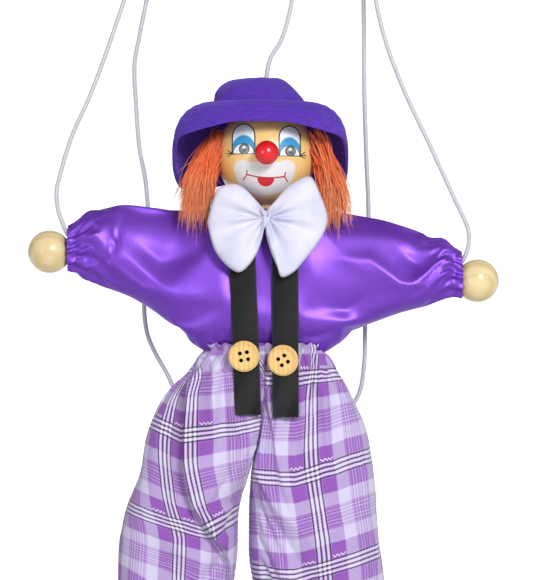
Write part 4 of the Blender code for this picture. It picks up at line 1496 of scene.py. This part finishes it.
def braces():
    for side in SIDES:
        start, end, hem = STRAPS[side]
        rng = random.Random(f"strap {side}")
        length = hem - STRAP_TOP

        def place(i, j):
            """Depth of a point, and its share of the width from -1 to 1."""
            return STRAP_TOP + length * i / STRAP_ROWS, 2 * j / STRAP_COLUMNS - 1

        def point(i, j):
            depth, share = place(i, j)
            x = mix(start, end, (depth - STRAP_TOP) / length)
            free = ease(depth, 124, hem)
            bulge = 0.35 * (1 - share * share) * (1 - free)
            wave = 0.25 * math.sin(depth * 0.21 + share * 1.3) + 0.5 * free * math.sin(
                share * 2.4 + depth * 0.12)
            return at(x + STRAP_HALF * share, depth, -FORWARD(depth) - bulge - wave)

        def uv(i, j):
            depth, share = place(i, j)
            return (share * STRAP_HALF * MM, depth * MM)

        grid = patch(STRAP_ROWS + 1, STRAP_COLUMNS + 1, point)
        made = shell("ribbon_" + side, grid, uv, RIBBON, 0.35 * MM, round_cols=False)
        fray = []
        for _ in range(26):
            share = rng.uniform(-1, 1)
            low = at(end + STRAP_HALF * share, hem, -FORWARD(hem))
            way = Vector((rng.gauss(0, 0.25), rng.gauss(0, 0.15), -1)) * rng.uniform(0.3, 1.1)
            path = [low + way * MM * k / 4 for k in range(-1, 5)]
            fray.append(tube("thread", path, 0.07 * MM, 5, RIBBON, ends=False))
        join(made, fray)
        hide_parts("strap_" + side)
        knee_x = KNEE[side][0]
        at(knee_x, 118)
        at(knee_x, 150)
        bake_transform(made)
        finish_node("button_" + side, BUTTON_WOOD)


# ---------------------------------------------------------------- hands and shoes

SHOE = (
    # y, half width, depth of the sole and of the top below the ankle, from the toe back
    (-30, 3.6, 15.4, 12), (-29.4, 5.6, 15.6, 10.4), (-27, 8.6, 15.9, 8.4),
    (-21, 10.4, 16, 6.8), (-13, 9.6, 16, 5.6), (-6, 8.8, 16, 1.2), (1, 8.6, 16, -0.4),
    (6, 7.4, 16, 2.2), (8.2, 5.4, 15.8, 6.5), (9, 3.0, 15.6, 9))
SHOE_ROWS = 52
SHOE_COLUMNS = 64
SOLE_THICK = 2.6


def hands_and_feet():
    for side in SIDES:
        hand, shoulder = at(*HAND[side]), at(*SHOULDER[side])
        inward = (shoulder - hand).normalized()
        rim = math.degrees(math.asin(HAND_BORE / HAND_RADIUS))
        profile = [(0.0, -0.3), (HAND_BORE, -0.3), (HAND_BORE, 7.8)]
        profile += ball_profile(HAND_RADIUS, rim, 180, 48)
        bead = lathe("wooden_hand_" + side, hand, inward, profile, BEAD_WOOD, 96)
        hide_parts("hand_bead_" + side)
        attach(bead, "arm_" + side)
        shoe(side)


def shoe(side):
    """A rounded clown shoe: domed upper on a thin welted sole."""
    x, depth = ANKLE[side]
    half, sole, top = columns(SHOE)

    def along(i):
        return mix(SHOE[0][0], SHOE[-1][0], 0.5 - 0.5 * math.cos(math.pi * i / SHOE_ROWS))

    def point(i, j):
        y = along(i)
        turn = TURN * j / SHOE_COLUMNS
        low = sole(y)
        height = mix(low, top(y), 0.5 + 0.5 * signed_power(math.sin(turn), 0.8))
        welt = 0.5 * ease(height, low - 3.2, low - 2.4)
        across = (half(y) + welt) * signed_power(math.cos(turn), 0.75)
        return at(x + across, depth + height, y)

    grid = patch(SHOE_ROWS + 1, SHOE_COLUMNS, point)

    def mark(i, j):
        height = (HAT_TOP - grid[i, j, 2]) / MM - depth
        return 1 if height > sole(along(i)) - SOLE_THICK else 0

    made = surface("clown_shoe_" + side, grid,
                   lambda i, j: (j / SHOE_COLUMNS, i / SHOE_ROWS),
                   [SHOE_BLACK, SOLE_BROWN], mark=mark)
    work = bmesh.new()
    work.from_mesh(made.data)
    bmesh.ops.holes_fill(work, edges=work.edges, sides=0)
    work.to_mesh(made.data)
    work.free()
    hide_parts("shoe_" + side)
    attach(made, "shin_" + side)


camera()
studio()
strings()
control()
head()
shirt()
trousers()
bow()
braces()
hands_and_feet()
